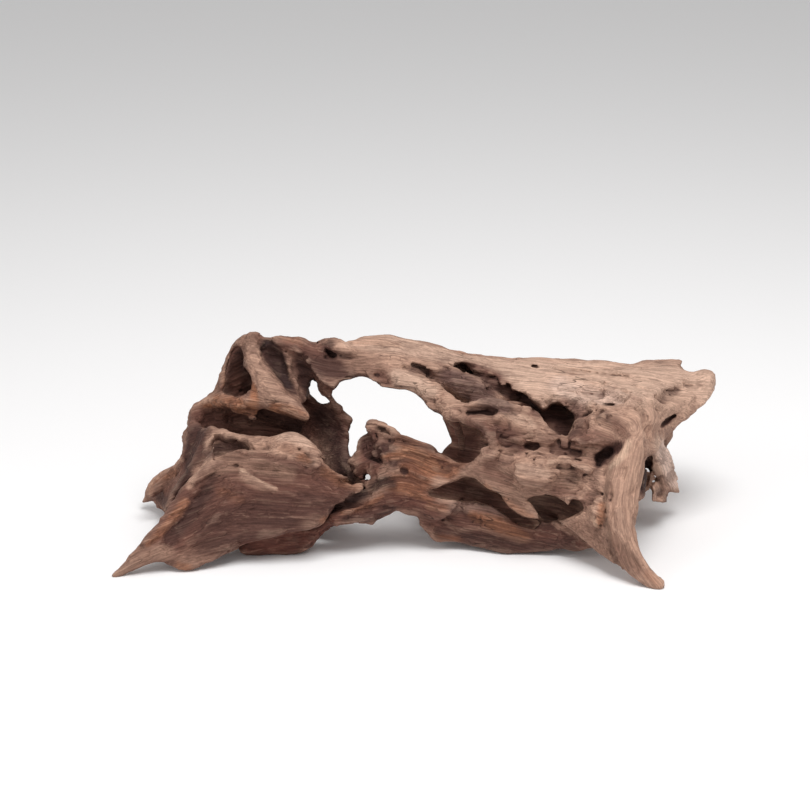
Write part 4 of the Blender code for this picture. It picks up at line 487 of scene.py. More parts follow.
FACE_RELIEF = [
    ("ridge", "below the slot", [(466, 419, -1, 3), (480, 420, -1, 3), (498, 419, -1, 3)], 3),
    ("ridge", "arm over the tunnel", [(449, 414, -2, 4), (462, 418, -2, 4.5), (478, 424, -2, 4.5),
        (490, 432, -2, 4), (497, 442, -2, 4), (492, 452, -2, 4)], 4),
    ("hollow", "bay of the face", [(500, 433, 3, 10), (508, 441, 2, 11), (515, 450, 3, 9)], 7),
    ("hollow", "slope under the shelf", [(514, 427, 5, 9), (530, 433, 5, 9), (545, 442, 5, 8)], 6),
    ("ridge", "shelf under the channel", [(476, 399, -2, 5), (500, 405, -2, 6), (518, 410, -2, 7),
        (531, 419, -2, 7), (544, 431, -2, 6), (560, 440, -2, 5), (580, 443, -1, 4)], 5),
    ("ridge", "rim over the small hole", [(489, 438, 0, 3), (494, 431, 0, 4), (506, 430, 0, 4),
        (522, 436, 0, 4), (542, 443, 0, 4), (558, 446, 0, 3)], 4),
    ("ridge", "wave over the knob", [(486, 452, -1, 4), (500, 458, 0, 5), (516, 461, 0, 4.5),
        (540, 458, 0, 4.5), (562, 461, 0, 5), (580, 470, 0, 5), (590, 476, -1, 4)], 4),
    ("hollow", "trough by the small hole", [(545, 446, 3, 6), (560, 449, 3, 6), (575, 452, 4, 5)], 4),
    ("hollow", "left of the knob", [(500, 462, 5, 8), (505, 474, 5, 8), (512, 486, 5, 7)], 5),
    ("hollow", "pits right of the knob", [(569, 470, 1, 5), (575, 478, 1, 6), (580, 488, 2, 5)], 4),
    ("hollow", "trough right of the small hole", [(566, 452, 2, 5), (582, 456, 2, 6),
        (592, 462, 3, 5)], 4),
    ("hollow", "shadow right of the knob", [(566, 482, 1, 5), (574, 478, 1, 5)], 4),
    ("ridge", "strut right of the knob", [(584, 462, -1, 4), (587, 474, -1, 5), (591, 488, -2, 6),
        (598, 500, -2, 6)], 5),
    ("hollow", "groove beside the strut", [(600, 470, 3, 5), (605, 484, 3, 6), (611, 500, 3, 6),
        (611, 514, 4, 5)], 4),
    ("hollow", "scoop of the shoulder", [(580, 400, 5, 8), (592, 404, 5, 8)], 5),
    ("hole", "cracks of the shoulder", [(596, 417, 4, 1.6), (600, 413, 5, 2.2),
        (605, 409, 4, 1.6)], 1.5),
    ("ridge", "rim of the round hollow", [(545, 404, -1, 3), (556, 402, -1, 3), (567, 406, -1, 3),
        (575, 414, -1, 3)], 3),
    ("hole", "small hole", [(527, 445.5, 9, 3.4), (531, 446, 14, 4.2), (536, 446, 10, 3.6)], 1.5),
    ("hole", "slit beside the channel", [(542, 431, 6, 2), (548, 435, 9, 2.8), (554, 438, 8, 2.8),
        (559, 441, 5, 1.8)], 1.5),
    ("hollow", "slope into the round hollow", [(544, 399, 6, 9), (556, 396, 5, 11), (569, 399, 5, 12),
        (579, 409, 5, 12), (581, 422, 6, 11)], 8),
    ("hollow", "notch in the round hollow's rim", [(553, 400, 2, 4), (556, 395, 3, 3)], 2),
    ("hollow", "second notch in the round hollow's rim", [(571, 404, 2, 4.5), (577, 400, 3, 3)], 2),
    ("ridge", "lump on the round hollow's rim", [(562, 402, 0, 3), (566, 406, 0, 2.5)], 2),
    ("ridge", "brow under the channel", [(440, 402, -1, 5), (462, 408, 0, 4), (490, 402, -2, 4),
        (512, 409, -2, 4), (530, 412, -2, 4), (545, 428, -2, 4), (560, 438, -2, 4)], 5),
    ("ridge", "rim of the tunnel", [(455, 415, -2, 4), (476, 422, -2, 4), (492, 434, -2, 4),
        (496, 446, -2, 4), (484, 460, -2, 4)], 4),
    ("hollow", "dish beside the tunnel", [(512, 424, 8, 12), (524, 432, 8, 12), (520, 444, 8, 12),
        (508, 452, 9, 12)], 6),
    ("hollow", "dish over the knob", [(550, 444, 6, 9), (570, 450, 5, 9)], 5),
    ("ridge", "fold over the knob", [(545, 438, -2, 4), (562, 446, -2, 4), (580, 446, -2, 4)], 4),
    ("hollow", "round the knob", [(556, 490, 8, 10), (570, 482, 8, 12), (590, 488, 8, 12)], 6),
    ("hollow", "back of the spike", [(492, 470, 9, 13), (506, 486, 8, 11), (520, 500, 8, 9)], 5),
    ("hollow", "face pocket", [(600, 466, 2, 5), (602, 459, 0, 8), (609, 453, 0, 8),
        (618, 447, 2, 5)], 3),
    ("hole", "deep of the face pocket", [(599, 464, 8, 3), (600, 458, 10, 4), (605, 454, 10, 4.5),
        (611, 451, 8, 4)], 2),
    ("ridge", "fold beside the pocket", [(630, 441, -1, 4), (626, 450, -1, 4), (619, 459, -1, 4),
        (612, 467, -2, 3)], 3),
    ("hollow", "dish over the pocket", [(606, 427, 5, 8), (616, 429, 3, 9), (625, 433, 5, 7)], 5),
    ("ridge", "brow over the dish", [(588, 424, -1, 4), (598, 420, -1, 4.5), (610, 417, -1, 4.5),
        (622, 419, -1, 4)], 4),
    ("hollow", "gully of the shoulder", [(584, 412, 3, 5), (591, 420, 2, 6), (596, 430, 2, 6),
        (592, 440, 3, 5)], 4),
    ("hollow", "table pit", [(600, 413, 1, 4)], 3),
    ("hollow", "table dimple", [(640, 394, 4, 8)], 5),
    ("hole", "worm hole", [(532, 365.5, 5, 2.2), (536, 366.5, 6, 2.4), (541, 368, 3, 1.8)], 1.5),
    ("hole", "horn slot", [(661.5, 426.5, 6, 1.8), (665, 423, 9, 2.6), (670, 419, 9, 2.6),
        (675, 415.5, 6, 1.8)], 1.5),
    ("hollow", "horn pit", [(658, 406, 4, 6), (664, 398, 2, 8.5), (673, 391, 3, 7.5),
        (681, 388, 4, 5)], 5),
    ("hollow", "pits by the horn", [(682, 386, -1, 3), (688, 390, -1, 3)], 2),
    ("hollow", "dimple on the table", [(624, 389, 0, 4), (628, 392, 0, 4)], 3),
    ("ridge", "broken end beside the leg", [(598, 506, -1, 6), (600, 514, 0, 6.5),
        (599, 522, 0, 6)], 3),
    ("hollow", "chip", [(606, 529, 2, 3), (600, 531, 2, 3.5), (593, 527, 2, 3)], 2),
    ("hollow", "beside the leg", [(645, 457, -3, 3.5), (646, 467, -6, 6), (645, 480, -7, 6.5),
        (641, 490, -5, 4)], 3),
    ("hole", "dark beside the leg", [(645.5, 461, 12, 2.6), (646, 468, 20, 4), (646, 477, 22, 4),
        (644, 486, 16, 3)], 2),
    ("ridge", "shin", [(636, 402, -4, 10), (632, 420, -4, 9), (634, 445, -3, 8), (629, 470, -3, 8),
        (621, 500, -3, 8), (622, 530, -3, 8)], 8),
    ("hollow", "behind the shin", [(645, 410, 6, 10), (650, 430, 6, 9)], 6),
    ("ridge", "grain of the table", [(560, 372, -4, 8), (600, 372, -4, 9), (640, 380, -4, 9),
        (680, 384, -4, 8)], 8),
    ("ridge", "first wave of the table", [(548, 378, 0, 3), (580, 381, 0, 4), (612, 386, 0, 4),
        (632, 400, 0, 3)], 5),
    ("ridge", "second wave of the table", [(560, 389, 0, 3), (585, 393, 0, 3.5), (606, 402, 0, 3)], 4),
    ("hollow", "pits of the table", [(612, 392, 1, 3), (618, 397, 0, 3.5), (626, 400, 1, 3)], 2),
    ("hollow", "upper pits of the table", [(632, 384, 1, 2.5), (640, 387, 0, 3),
        (650, 390, 1, 2.5)], 2),
    ("ridge", "neck of the horn", [(650, 402, -1, 4), (662, 408, 0, 4.5), (676, 407, 0, 4.5),
        (692, 398, 0, 4)], 5),
    ("hollow", "hollow of the horn's tip", [(690, 384, 4, 7), (698, 388, 4, 6)], 5),
    ("ridge", "rib of the leg", [(618, 510, -1, 4), (626, 530, -1, 4), (634, 550, -1, 3.5),
        (645, 566, -1, 3)], 4),
    ("hollow", "groove of the leg", [(604, 524, 3, 5), (612, 538, 3, 5), (622, 552, 3, 4.5),
        (636, 566, 3, 4)], 4),
    ("hollow", "long groove of the shin", [(622, 470, 3, 5), (618, 486, 3, 5), (616, 502, 3, 5)], 4),
    ("hollow", "dish of the table", [(590, 385, 10, 16), (610, 395, 10, 14)], 8),
    ("ridge", "edge of the flange", [(671, 462, -1, 3), (675, 478, -1, 3)], 3),
    ("hollow", "between the flange teeth", [(662, 480, 2, 4), (663, 490, 1, 4), (660, 498, 2, 5)], 3),
    ("ridge", "step of the plank", [(446, 520, -1, 4), (460, 530, -1, 4), (482, 529, -1, 4),
        (510, 536, -1, 4), (532, 541, -1, 4)], 3),
    ("hollow", "under the step", [(440, 530, 3, 6), (466, 538, 3, 6), (500, 544, 3, 6),
        (540, 546, 4, 6)], 4),
    ("ridge", "crown of the plank", [(470, 510, -2, 5), (500, 524, -1, 5), (530, 534, -1, 4)], 4),
]


def smooth_path(points, step=PATH_STEP):
    """A smooth curve through the points, with a row about every step.

    Each stretch is a cubic whose slope at a point is half the way from the point before to the one after.
    """
    p = np.asarray(points, float)
    if len(p) == 1:
        return p
    q = np.vstack([2 * p[0] - p[1], p, 2 * p[-1] - p[-2]])
    rows = []
    for a, b, c, d in zip(q[:-3], q[1:-2], q[2:-1], q[3:]):
        n = max(1, int(np.ceil(np.linalg.norm(c[:3] - b[:3]) / step)))
        t = (np.arange(n) / n)[:, None]
        square, cube = 2 * a - 5 * b + 4 * c - d, 3 * b - a - 3 * c + d
        rows.append(0.5 * (2 * b + (c - a) * t + square * t**2 + cube * t**3))
    rows.append(p[-1:])
    return np.vstack(rows)


def soft_min(a, b, k):
    """The smaller of a and b, with the corner between them rounded.

    Where they differ by less than k, the square of what is missing from k, over four k, is taken off.
    """
    h = np.maximum(k - np.abs(a - b), 0) / k
    return np.minimum(a, b) - h * h * k / 4


def polygon_distance(gx, gy, ring):
    """Distance to the nearest side of a closed outline, negative inside it.

    A point is inside where an odd number of sides is crossed on the way out along its row.
    """
    best = np.full(np.broadcast(gx, gy).shape, 1e9)
    inside = np.zeros(best.shape, bool)
    for a, b in zip(ring, np.roll(ring, -1, 0)):
        e = b - a
        px, py = gx - a[0], gy - a[1]
        t = np.clip((px * e[0] + py * e[1]) / max(e @ e, 1e-9), 0, 1)
        best = np.minimum(best, (px - t * e[0]) ** 2 + (py - t * e[1]) ** 2)
        inside ^= ((a[1] > gy) != (b[1] > gy)) & (px < e[0] * (gy - a[1]) / (e[1] if e[1] else 1e-9))
    return np.where(inside, -np.sqrt(best), np.sqrt(best))


def surface_through(gx, gy, anchors):
    """Depth and thickness at each column and row: the smoothest sheet through the anchors.

    It is a plane plus a weight times the distance to each anchor, and the weights make it meet them all.
    """
    p = anchors[:, :2]
    n = len(p)
    system = np.zeros((n + 3, n + 3))
    system[:n, :n] = np.linalg.norm(p[:, None] - p[None], axis=2)
    system[:n, n] = system[n, :n] = 1
    system[:n, n + 1 :] = p
    system[n + 1 :, :n] = p.T
    known = np.zeros((n + 3, 2))
    known[:n] = anchors[:, 2:4]
    w = np.linalg.lstsq(system, known, rcond=None)[0]
    out = [w[n, j] + w[n + 1, j] * gx + w[n + 2, j] * gy for j in range(2)]
    for i in range(n):
        r = np.sqrt((gx - p[i, 0]) ** 2 + (gy - p[i, 1]) ** 2 + SHEET_BEND**2)
        out = [out[j] + w[i, j] * r for j in range(2)]
    return out


def to_world(x, y, w):
    """Where a point of the sheet and its depth lie in the room, in metres, with the floor at height 0.

    The sheet spreads out with its depth, as seen from VIEW_DISTANCE, and then tilts back by VIEW_TILT.
    """
    away = DEPTH_SCALE * w
    grow = 1 + away * STEP / VIEW_DISTANCE
    rise = (SHEET_MIDDLE - y) * grow
    c, s = math.cos(VIEW_TILT), math.sin(VIEW_TILT)
    return (
        STEP * (x - SHEET_MIDDLE) * grow - CENTRE_X,
        STEP * (away * c + rise * s) - CENTRE_Y,
        STEP * (rise * c - away * s + (FLOOR_ROW - SHEET_MIDDLE) * c),
    )


class Block:
    """The block being carved, on a grid in sheet steps: value is below 0 inside the wood."""

    def __init__(self, h):
        self.low, self.h = np.asarray(LOW, float), float(h)
        self.shape = tuple(int(np.ceil((b - a) / h)) + 1 for a, b in zip(LOW, HIGH))
        self.axes = [self.low[i] + self.h * np.arange(self.shape[i]) for i in range(3)]
        self.value = np.full(self.shape, FAR, np.float32)

    def window(self, low, high):
        """Slices of the grid that cover the box from low to high."""
        out = []
        for i in range(3):
            a = int(np.clip(np.floor((low[i] - self.low[i]) / self.h), 0, self.shape[i]))
            b = int(np.clip(np.ceil((high[i] - self.low[i]) / self.h) + 1, 0, self.shape[i]))
            out.append(slice(a, b))
        return tuple(out)

    def coords(self, s):
        """Columns, rows and depths of the grid points in these slices."""
        shapes = ((-1, 1, 1), (1, -1, 1), (1, 1, -1))
        return [self.axes[i][s[i]].astype(np.float32).reshape(shapes[i]) for i in range(3)]

    def join(self, box, made, k, cut):
        """Join a made shape to the wood, or cut it away, with the seam rounded over k."""
        v = self.value[box]
        self.value[box] = -soft_min(-v, made, k) if cut else soft_min(v, made, k)

    def limb(self, points, k, cut=False):
        """A round-ended limb through points of (column, row, depth, radius).

        Its distance is that to the nearest stretch of its line, less the radius there.
        """
        path = smooth_path(points)
        pad = k + 3 * self.h
        low, high = (path[:, :3] - path[:, 3:]).min(0), (path[:, :3] + path[:, 3:]).max(0)
        box = self.window(low - pad, high + pad)
        made = np.full([s.stop - s.start for s in box], FAR, np.float32)
        if made.size == 0:
            return
        for a, b in zip(path[:-1], path[1:]) if len(path) > 1 else [(path[0], path[0])]:
            big = max(a[3], b[3]) + pad
            s = self.window(np.minimum(a[:3], b[:3]) - big, np.maximum(a[:3], b[:3]) + big)
            s = tuple(slice(max(t.start, u.start), min(t.stop, u.stop)) for t, u in zip(s, box))
            if any(t.stop <= t.start for t in s):
                continue
            p = [c - v for c, v in zip(self.coords(s), a)]
            ab = b[:3] - a[:3]
            t = np.clip(sum(c * v for c, v in zip(p, ab)) / max(ab @ ab, 1e-9), 0, 1)
            d = np.sqrt(sum((c - t * v) ** 2 for c, v in zip(p, ab))) - (a[3] + t * (b[3] - a[3]))
            sub = tuple(slice(t.start - u.start, t.stop - u.start) for t, u in zip(s, box))
            made[sub] = np.minimum(made[sub], d)
        self.join(box, made, k, cut)

    def plate(self, outline, anchors, k, edge, cut=False, inset=0.0):
        """A plate with this outline. The anchors set its depth and thickness; edge rounds its rim.

        It is what lies inside the outline and within half the thickness of its depth, and is thicker along
        the line of sight where it is steep.
        """
        ring = smooth_path([(*p, 0) for p in outline] + [(*outline[0], 0)], 6.0)[:-1, :2]
        anchors = np.asarray(anchors, float)
        pad = k + 3 * self.h + edge
        half = anchors[:, 3].max() / 2 + pad + PLATE_REACH
        low = [*(ring.min(0) - pad), anchors[:, 2].min() - half]
        high = [*(ring.max(0) + pad), anchors[:, 2].max() + half]
        box = self.window(low, high)
        gx, gy = self.axes[0][box[0]][:, None], self.axes[1][box[1]][None, :]
        depth, thick = surface_through(gx, gy, anchors)
        slope = np.gradient(depth, self.h)
        thick = thick * np.minimum(np.sqrt(1 + slope[0] ** 2 + slope[1] ** 2), MOST_THICKENED)
        away = np.abs(self.coords(box)[2] - depth[:, :, None]) - thick[:, :, None] / 2
        made = -soft_min(-polygon_distance(gx, gy, ring)[:, :, None] - inset, -away, edge)
        self.join(box, made.astype(np.float32), k, cut)

    def front(self, x, y):
        """Depth of the first wood met at a column and row, over the nearest 3 x 3 lines of sight."""
        i = int(np.clip(round((x - self.low[0]) / self.h), 1, self.shape[0] - 2))
        j = int(np.clip(round((y - self.low[1]) / self.h), 1, self.shape[1] - 2))
        found = []
        for line in self.value[i - 1 : i + 2, j - 1 : j + 2].reshape(9, -1):
            n = int((line < 0).argmax())
            if n > 0:
                found.append(self.low[2] + self.h * (n - 1 + line[n - 1] / (line[n - 1] - line[n])))
        return float(np.median(found)) if found else None

    def relief(self, kind, points, k):
        """A ridge or a hollow laid on the front of the wood, or a hole sunk straight into it.

        Each point lies its lift in front of the wood met there. A hole narrows from there to its depth.
        """
        laid, last = [], None
        for x, y, lift, r in points:
            met = self.front(x, y)
            if met is not None and (last is None or abs(met - last) < SAME_SURFACE):
                last = met
            if last is not None:
                laid.append((x, y, last, lift, r))
        if laid and kind == "hole":
            for x, y, met, deep, r in smooth_path(laid, HOLE_STEP):
                self.limb([(x, y, met - r, r), (x, y, met + deep, HOLE_TAPER * r)], k, True)
        elif laid:
            self.limb([(x, y, met - lift, r) for x, y, met, lift, r in laid], k, kind == "hollow")


class Noise:
    """Smooth random values between -1 and 1 on a wrapped lattice.

    Each is the mean of the eight lattice points round it, weighed by a smooth step.
    """

    def __init__(self, seed):
        self.table = np.random.default_rng(seed).uniform(-1, 1, (64, 64, 64)).astype(np.float32)

    def __call__(self, x, y, z):
        cells = [np.floor(v) for v in (x, y, z)]
        t = [v - c for v, c in zip((x, y, z), cells)]
        tx, ty, tz = (v * v * (3 - 2 * v) for v in t)
        low = [c.astype(np.int64) % 64 for c in cells]
        high = [(c + 1) % 64 for c in low]
        pick = self.table
        near = [pick[low[0], j, k] * (1 - tx) + pick[high[0], j, k] * tx
                for k in (low[2], high[2]) for j in (low[1], high[1])]
        return (near[0] * (1 - ty) + near[1] * ty) * (1 - tz) + (near[2] * (1 - ty) + near[3] * ty) * tz


def weather(b):
    """Wear flutes into the sides that face away; they fade out towards the front and the outline.

    The surface goes in by twice the size of a smooth random value drawn out along the columns, less
    FLUTE_RIDGE, and by a share of a second value for the knots.
    """
    wood = b.value < 0
    seen = wood.any(2)
    first = np.where(seen, wood.argmax(2) * b.h + b.low[2], 1e6)
    inner = seen.astype(float)
    r = int(round(RIM_KEPT / b.h))
    for axis in (0, 1):
        inner = sum(np.roll(inner, n, axis) for n in range(-r, r + 1)) / (2 * r + 1)
    inner = np.clip(2 * inner - 1, 0, 1)
    i, j, k = np.nonzero(np.abs(b.value) < 3 * FLUTE_DEPTH)
    w = b.axes[2][k]
    behind = np.clip((w - first[i, j] - FLUTES_BEGIN) / FLUTES_FULL, 0, 1) * inner[i, j]
    some = behind > 0
    i, j, k, w, behind = i[some], j[some], k[some], w[some], behind[some]
    x, y = b.axes[0][i], b.axes[1][j]
    bend = WANDER * NOISE(x / WANDER_LENGTH, y / WANDER_WIDTH, w / WANDER_WIDTH)
    flute = np.abs(NOISE(x / FLUTE_LENGTH, (y + bend) / FLUTE_WIDTH, (w + bend) / FLUTE_WIDTH))
    knot = NOISE(x / KNOT_LENGTH + KNOT_SHIFT, y / KNOT_WIDTH, w / KNOT_WIDTH)
    worn = 2 * flute - FLUTE_RIDGE + KNOT_DEPTH * knot
    b.value[i, j, k] += (behind * FLUTE_DEPTH * worn).astype(np.float32)


NOISE = Noise(SEED)


def carve(h):
    """The whole piece of wood, on a grid of h sheet steps."""
    b = Block(h)
    for points in CORES.values():
        b.limb(points, CORE_SOFTNESS)
    for outline, depths, k, edge in PLATES:
        b.plate(outline, depths, k, edge)
    for points in BACK_HOLLOWS.values():
        b.limb(points, HOLLOW_SOFTNESS, True)
    for points, k in OUTER_LIMBS:
        b.limb(points, k)
    b.plate(*CHANNEL_CUT, True)
    for points, k in INNER_LIMBS:
        b.limb(points, k)
    b.plate(*KNOB_JOIN)
    b.plate(*POCKET_CUT, True)
    for kind, _, points, k in RELIEF:
        b.relief(kind, points, k)
    for made in LOW_CUTS:
        b.plate(*made, True)
    b.limb(TUNNEL_STRUT, STRUT_SOFTNESS)
    for kind, _, points, k in FACE_RELIEF:
        b.relief(kind, points, k)
    for points in (EYE_SLOT, EYE_FLOOR):
        b.limb(points, SLOT_SOFTNESS, True)
    weather(b)
    for outline, depths, k, edge, inset in THROUGH_CUTS:
        b.plate(outline, depths, k, edge, True, inset)
    b.limb(NECK, NECK_SOFTNESS)
    b.limb(PINHOLE, HOLE_SOFTNESS, True)
    height = to_world(*b.coords((slice(None),) * 3))[2] / STEP
    b.value = np.maximum(b.value, -height).astype(np.float32)
    return b


# Lines that the grain follows, (column, row) on the sheet, laid on the front of the wood.
GRAIN_LINES = {
    "beam": [(245, 342), (262, 345), (300, 345), (340, 352), (380, 350), (420, 356), (450, 358)],
    "beam belly": [(345, 370), (380, 378), (410, 386), (430, 396)],
    "table back": [(450, 356), (500, 364), (560, 367), (620, 370), (676, 365)],
    "table": [(540, 380), (575, 384), (610, 388), (650, 385), (700, 380)],
    "table to leg": [(590, 400), (615, 402), (632, 415), (636, 440), (628, 480), (624, 510), (630, 545),
        (645, 570), (660, 586)],
    "left of the leg": [(560, 520), (590, 532), (612, 549), (640, 573)],
    "shin": [(580, 405), (602, 425), (614, 455), (612, 485), (616, 515)],
    "under the horn": [(646, 440), (660, 420), (685, 404), (706, 385)],
    "face": [(445, 402), (475, 405), (500, 412), (525, 425), (545, 435), (575, 445), (600, 448)],
    "knob": [(500, 455), (515, 462), (540, 472), (566, 476), (590, 484), (608, 500)],
    "spike": [(440, 478), (470, 470), (495, 482), (515, 500), (538, 516)],
    "link top": [(371, 425), (390, 434), (410, 446), (432, 454), (450, 466)],
    "link swirl": [(388, 474), (394, 460), (406, 455), (417, 462), (424, 476), (440, 488)],
    "link strand": [(334, 516), (356, 509), (374, 499), (388, 486), (410, 486), (430, 492)],
    "link foot": [(372, 517), (395, 505), (420, 510), (440, 522)],
    "link cheek": [(370, 430), (362, 445), (358, 462), (362, 478)],
    "plank": [(425, 520), (460, 532), (500, 541), (540, 545), (590, 543)],
    "plank top": [(430, 500), (470, 507), (505, 520), (535, 533), (560, 538)],
    "fan": [(117, 576), (150, 550), (185, 518), (215, 496), (250, 478), (300, 474), (345, 484),
        (360, 487)],
    "fan middle": [(135, 565), (180, 544), (230, 518), (280, 505), (325, 498), (355, 492)],
    "fan foot": [(180, 568), (220, 552), (260, 535), (310, 520), (335, 508)],
    "fan edge": [(150, 542), (178, 504), (193, 482), (206, 462), (222, 455), (250, 457)],
    "scar": [(242, 472), (256, 482), (276, 489)],
    "lip": [(212, 433), (240, 441), (262, 444), (285, 440), (305, 448), (318, 462)],
    "crest": [(250, 340), (256, 360), (268, 384), (290, 402), (304, 418)],
    "crest right": [(286, 340), (294, 358), (300, 378), (304, 396)],
    "ledge": [(200, 408), (212, 402), (232, 404), (248, 408), (255, 416)],
    "wall": [(200, 420), (225, 424), (260, 428), (300, 430)],
    "wall right": [(318, 404), (332, 425), (344, 450), (352, 478)],
    "lobe": [(145, 500), (165, 474), (181, 450), (188, 424), (203, 404), (216, 384), (230, 356),
        (240, 342)],
    "lump": [(250, 552), (275, 545), (300, 540), (325, 524)],
    "flange": [(656, 442), (663, 460), (672, 478), (677, 490)],
}

# Limbs whose grain runs along their own line: (column, row) along it, and how far to each side.
LEG_LINE = [
    (632, 412), (638, 436), (632, 468), (627, 500), (629, 530), (637, 555), (648, 573), (661, 590),
]
FLANGE_LINE = [(652, 438), (660, 452), (667, 470), (674, 492)]
LIMB_LINES = {"leg": (LEG_LINE, 24), "flange": (FLANGE_LINE, 13)}

# Where the surface is worked more roughly: column, row, radius, and how much rougher.
ROUGH = [
    (510, 435, 34, 1.6), (565, 455, 36, 1.8), (598, 505, 14, 2.2), (470, 378, 26, 1.2),
    (600, 412, 16, 1.5), (440, 372, 16, 1.4), (262, 350, 22, 1.2), (300, 362, 22, 1.4),
    (235, 405, 22, 1.4), (382, 445, 20, 2.0), (358, 470, 14, 1.8), (308, 458, 14, 1.4),
    (430, 468, 22, 0.8), (460, 510, 22, 0.9), (355, 510, 22, 1.0), (196, 430, 16, 1.0),
    (672, 392, 16, 1.0), (488, 378, 20, 1.4), (345, 500, 16, 1.6), (668, 470, 20, 1.2),
]
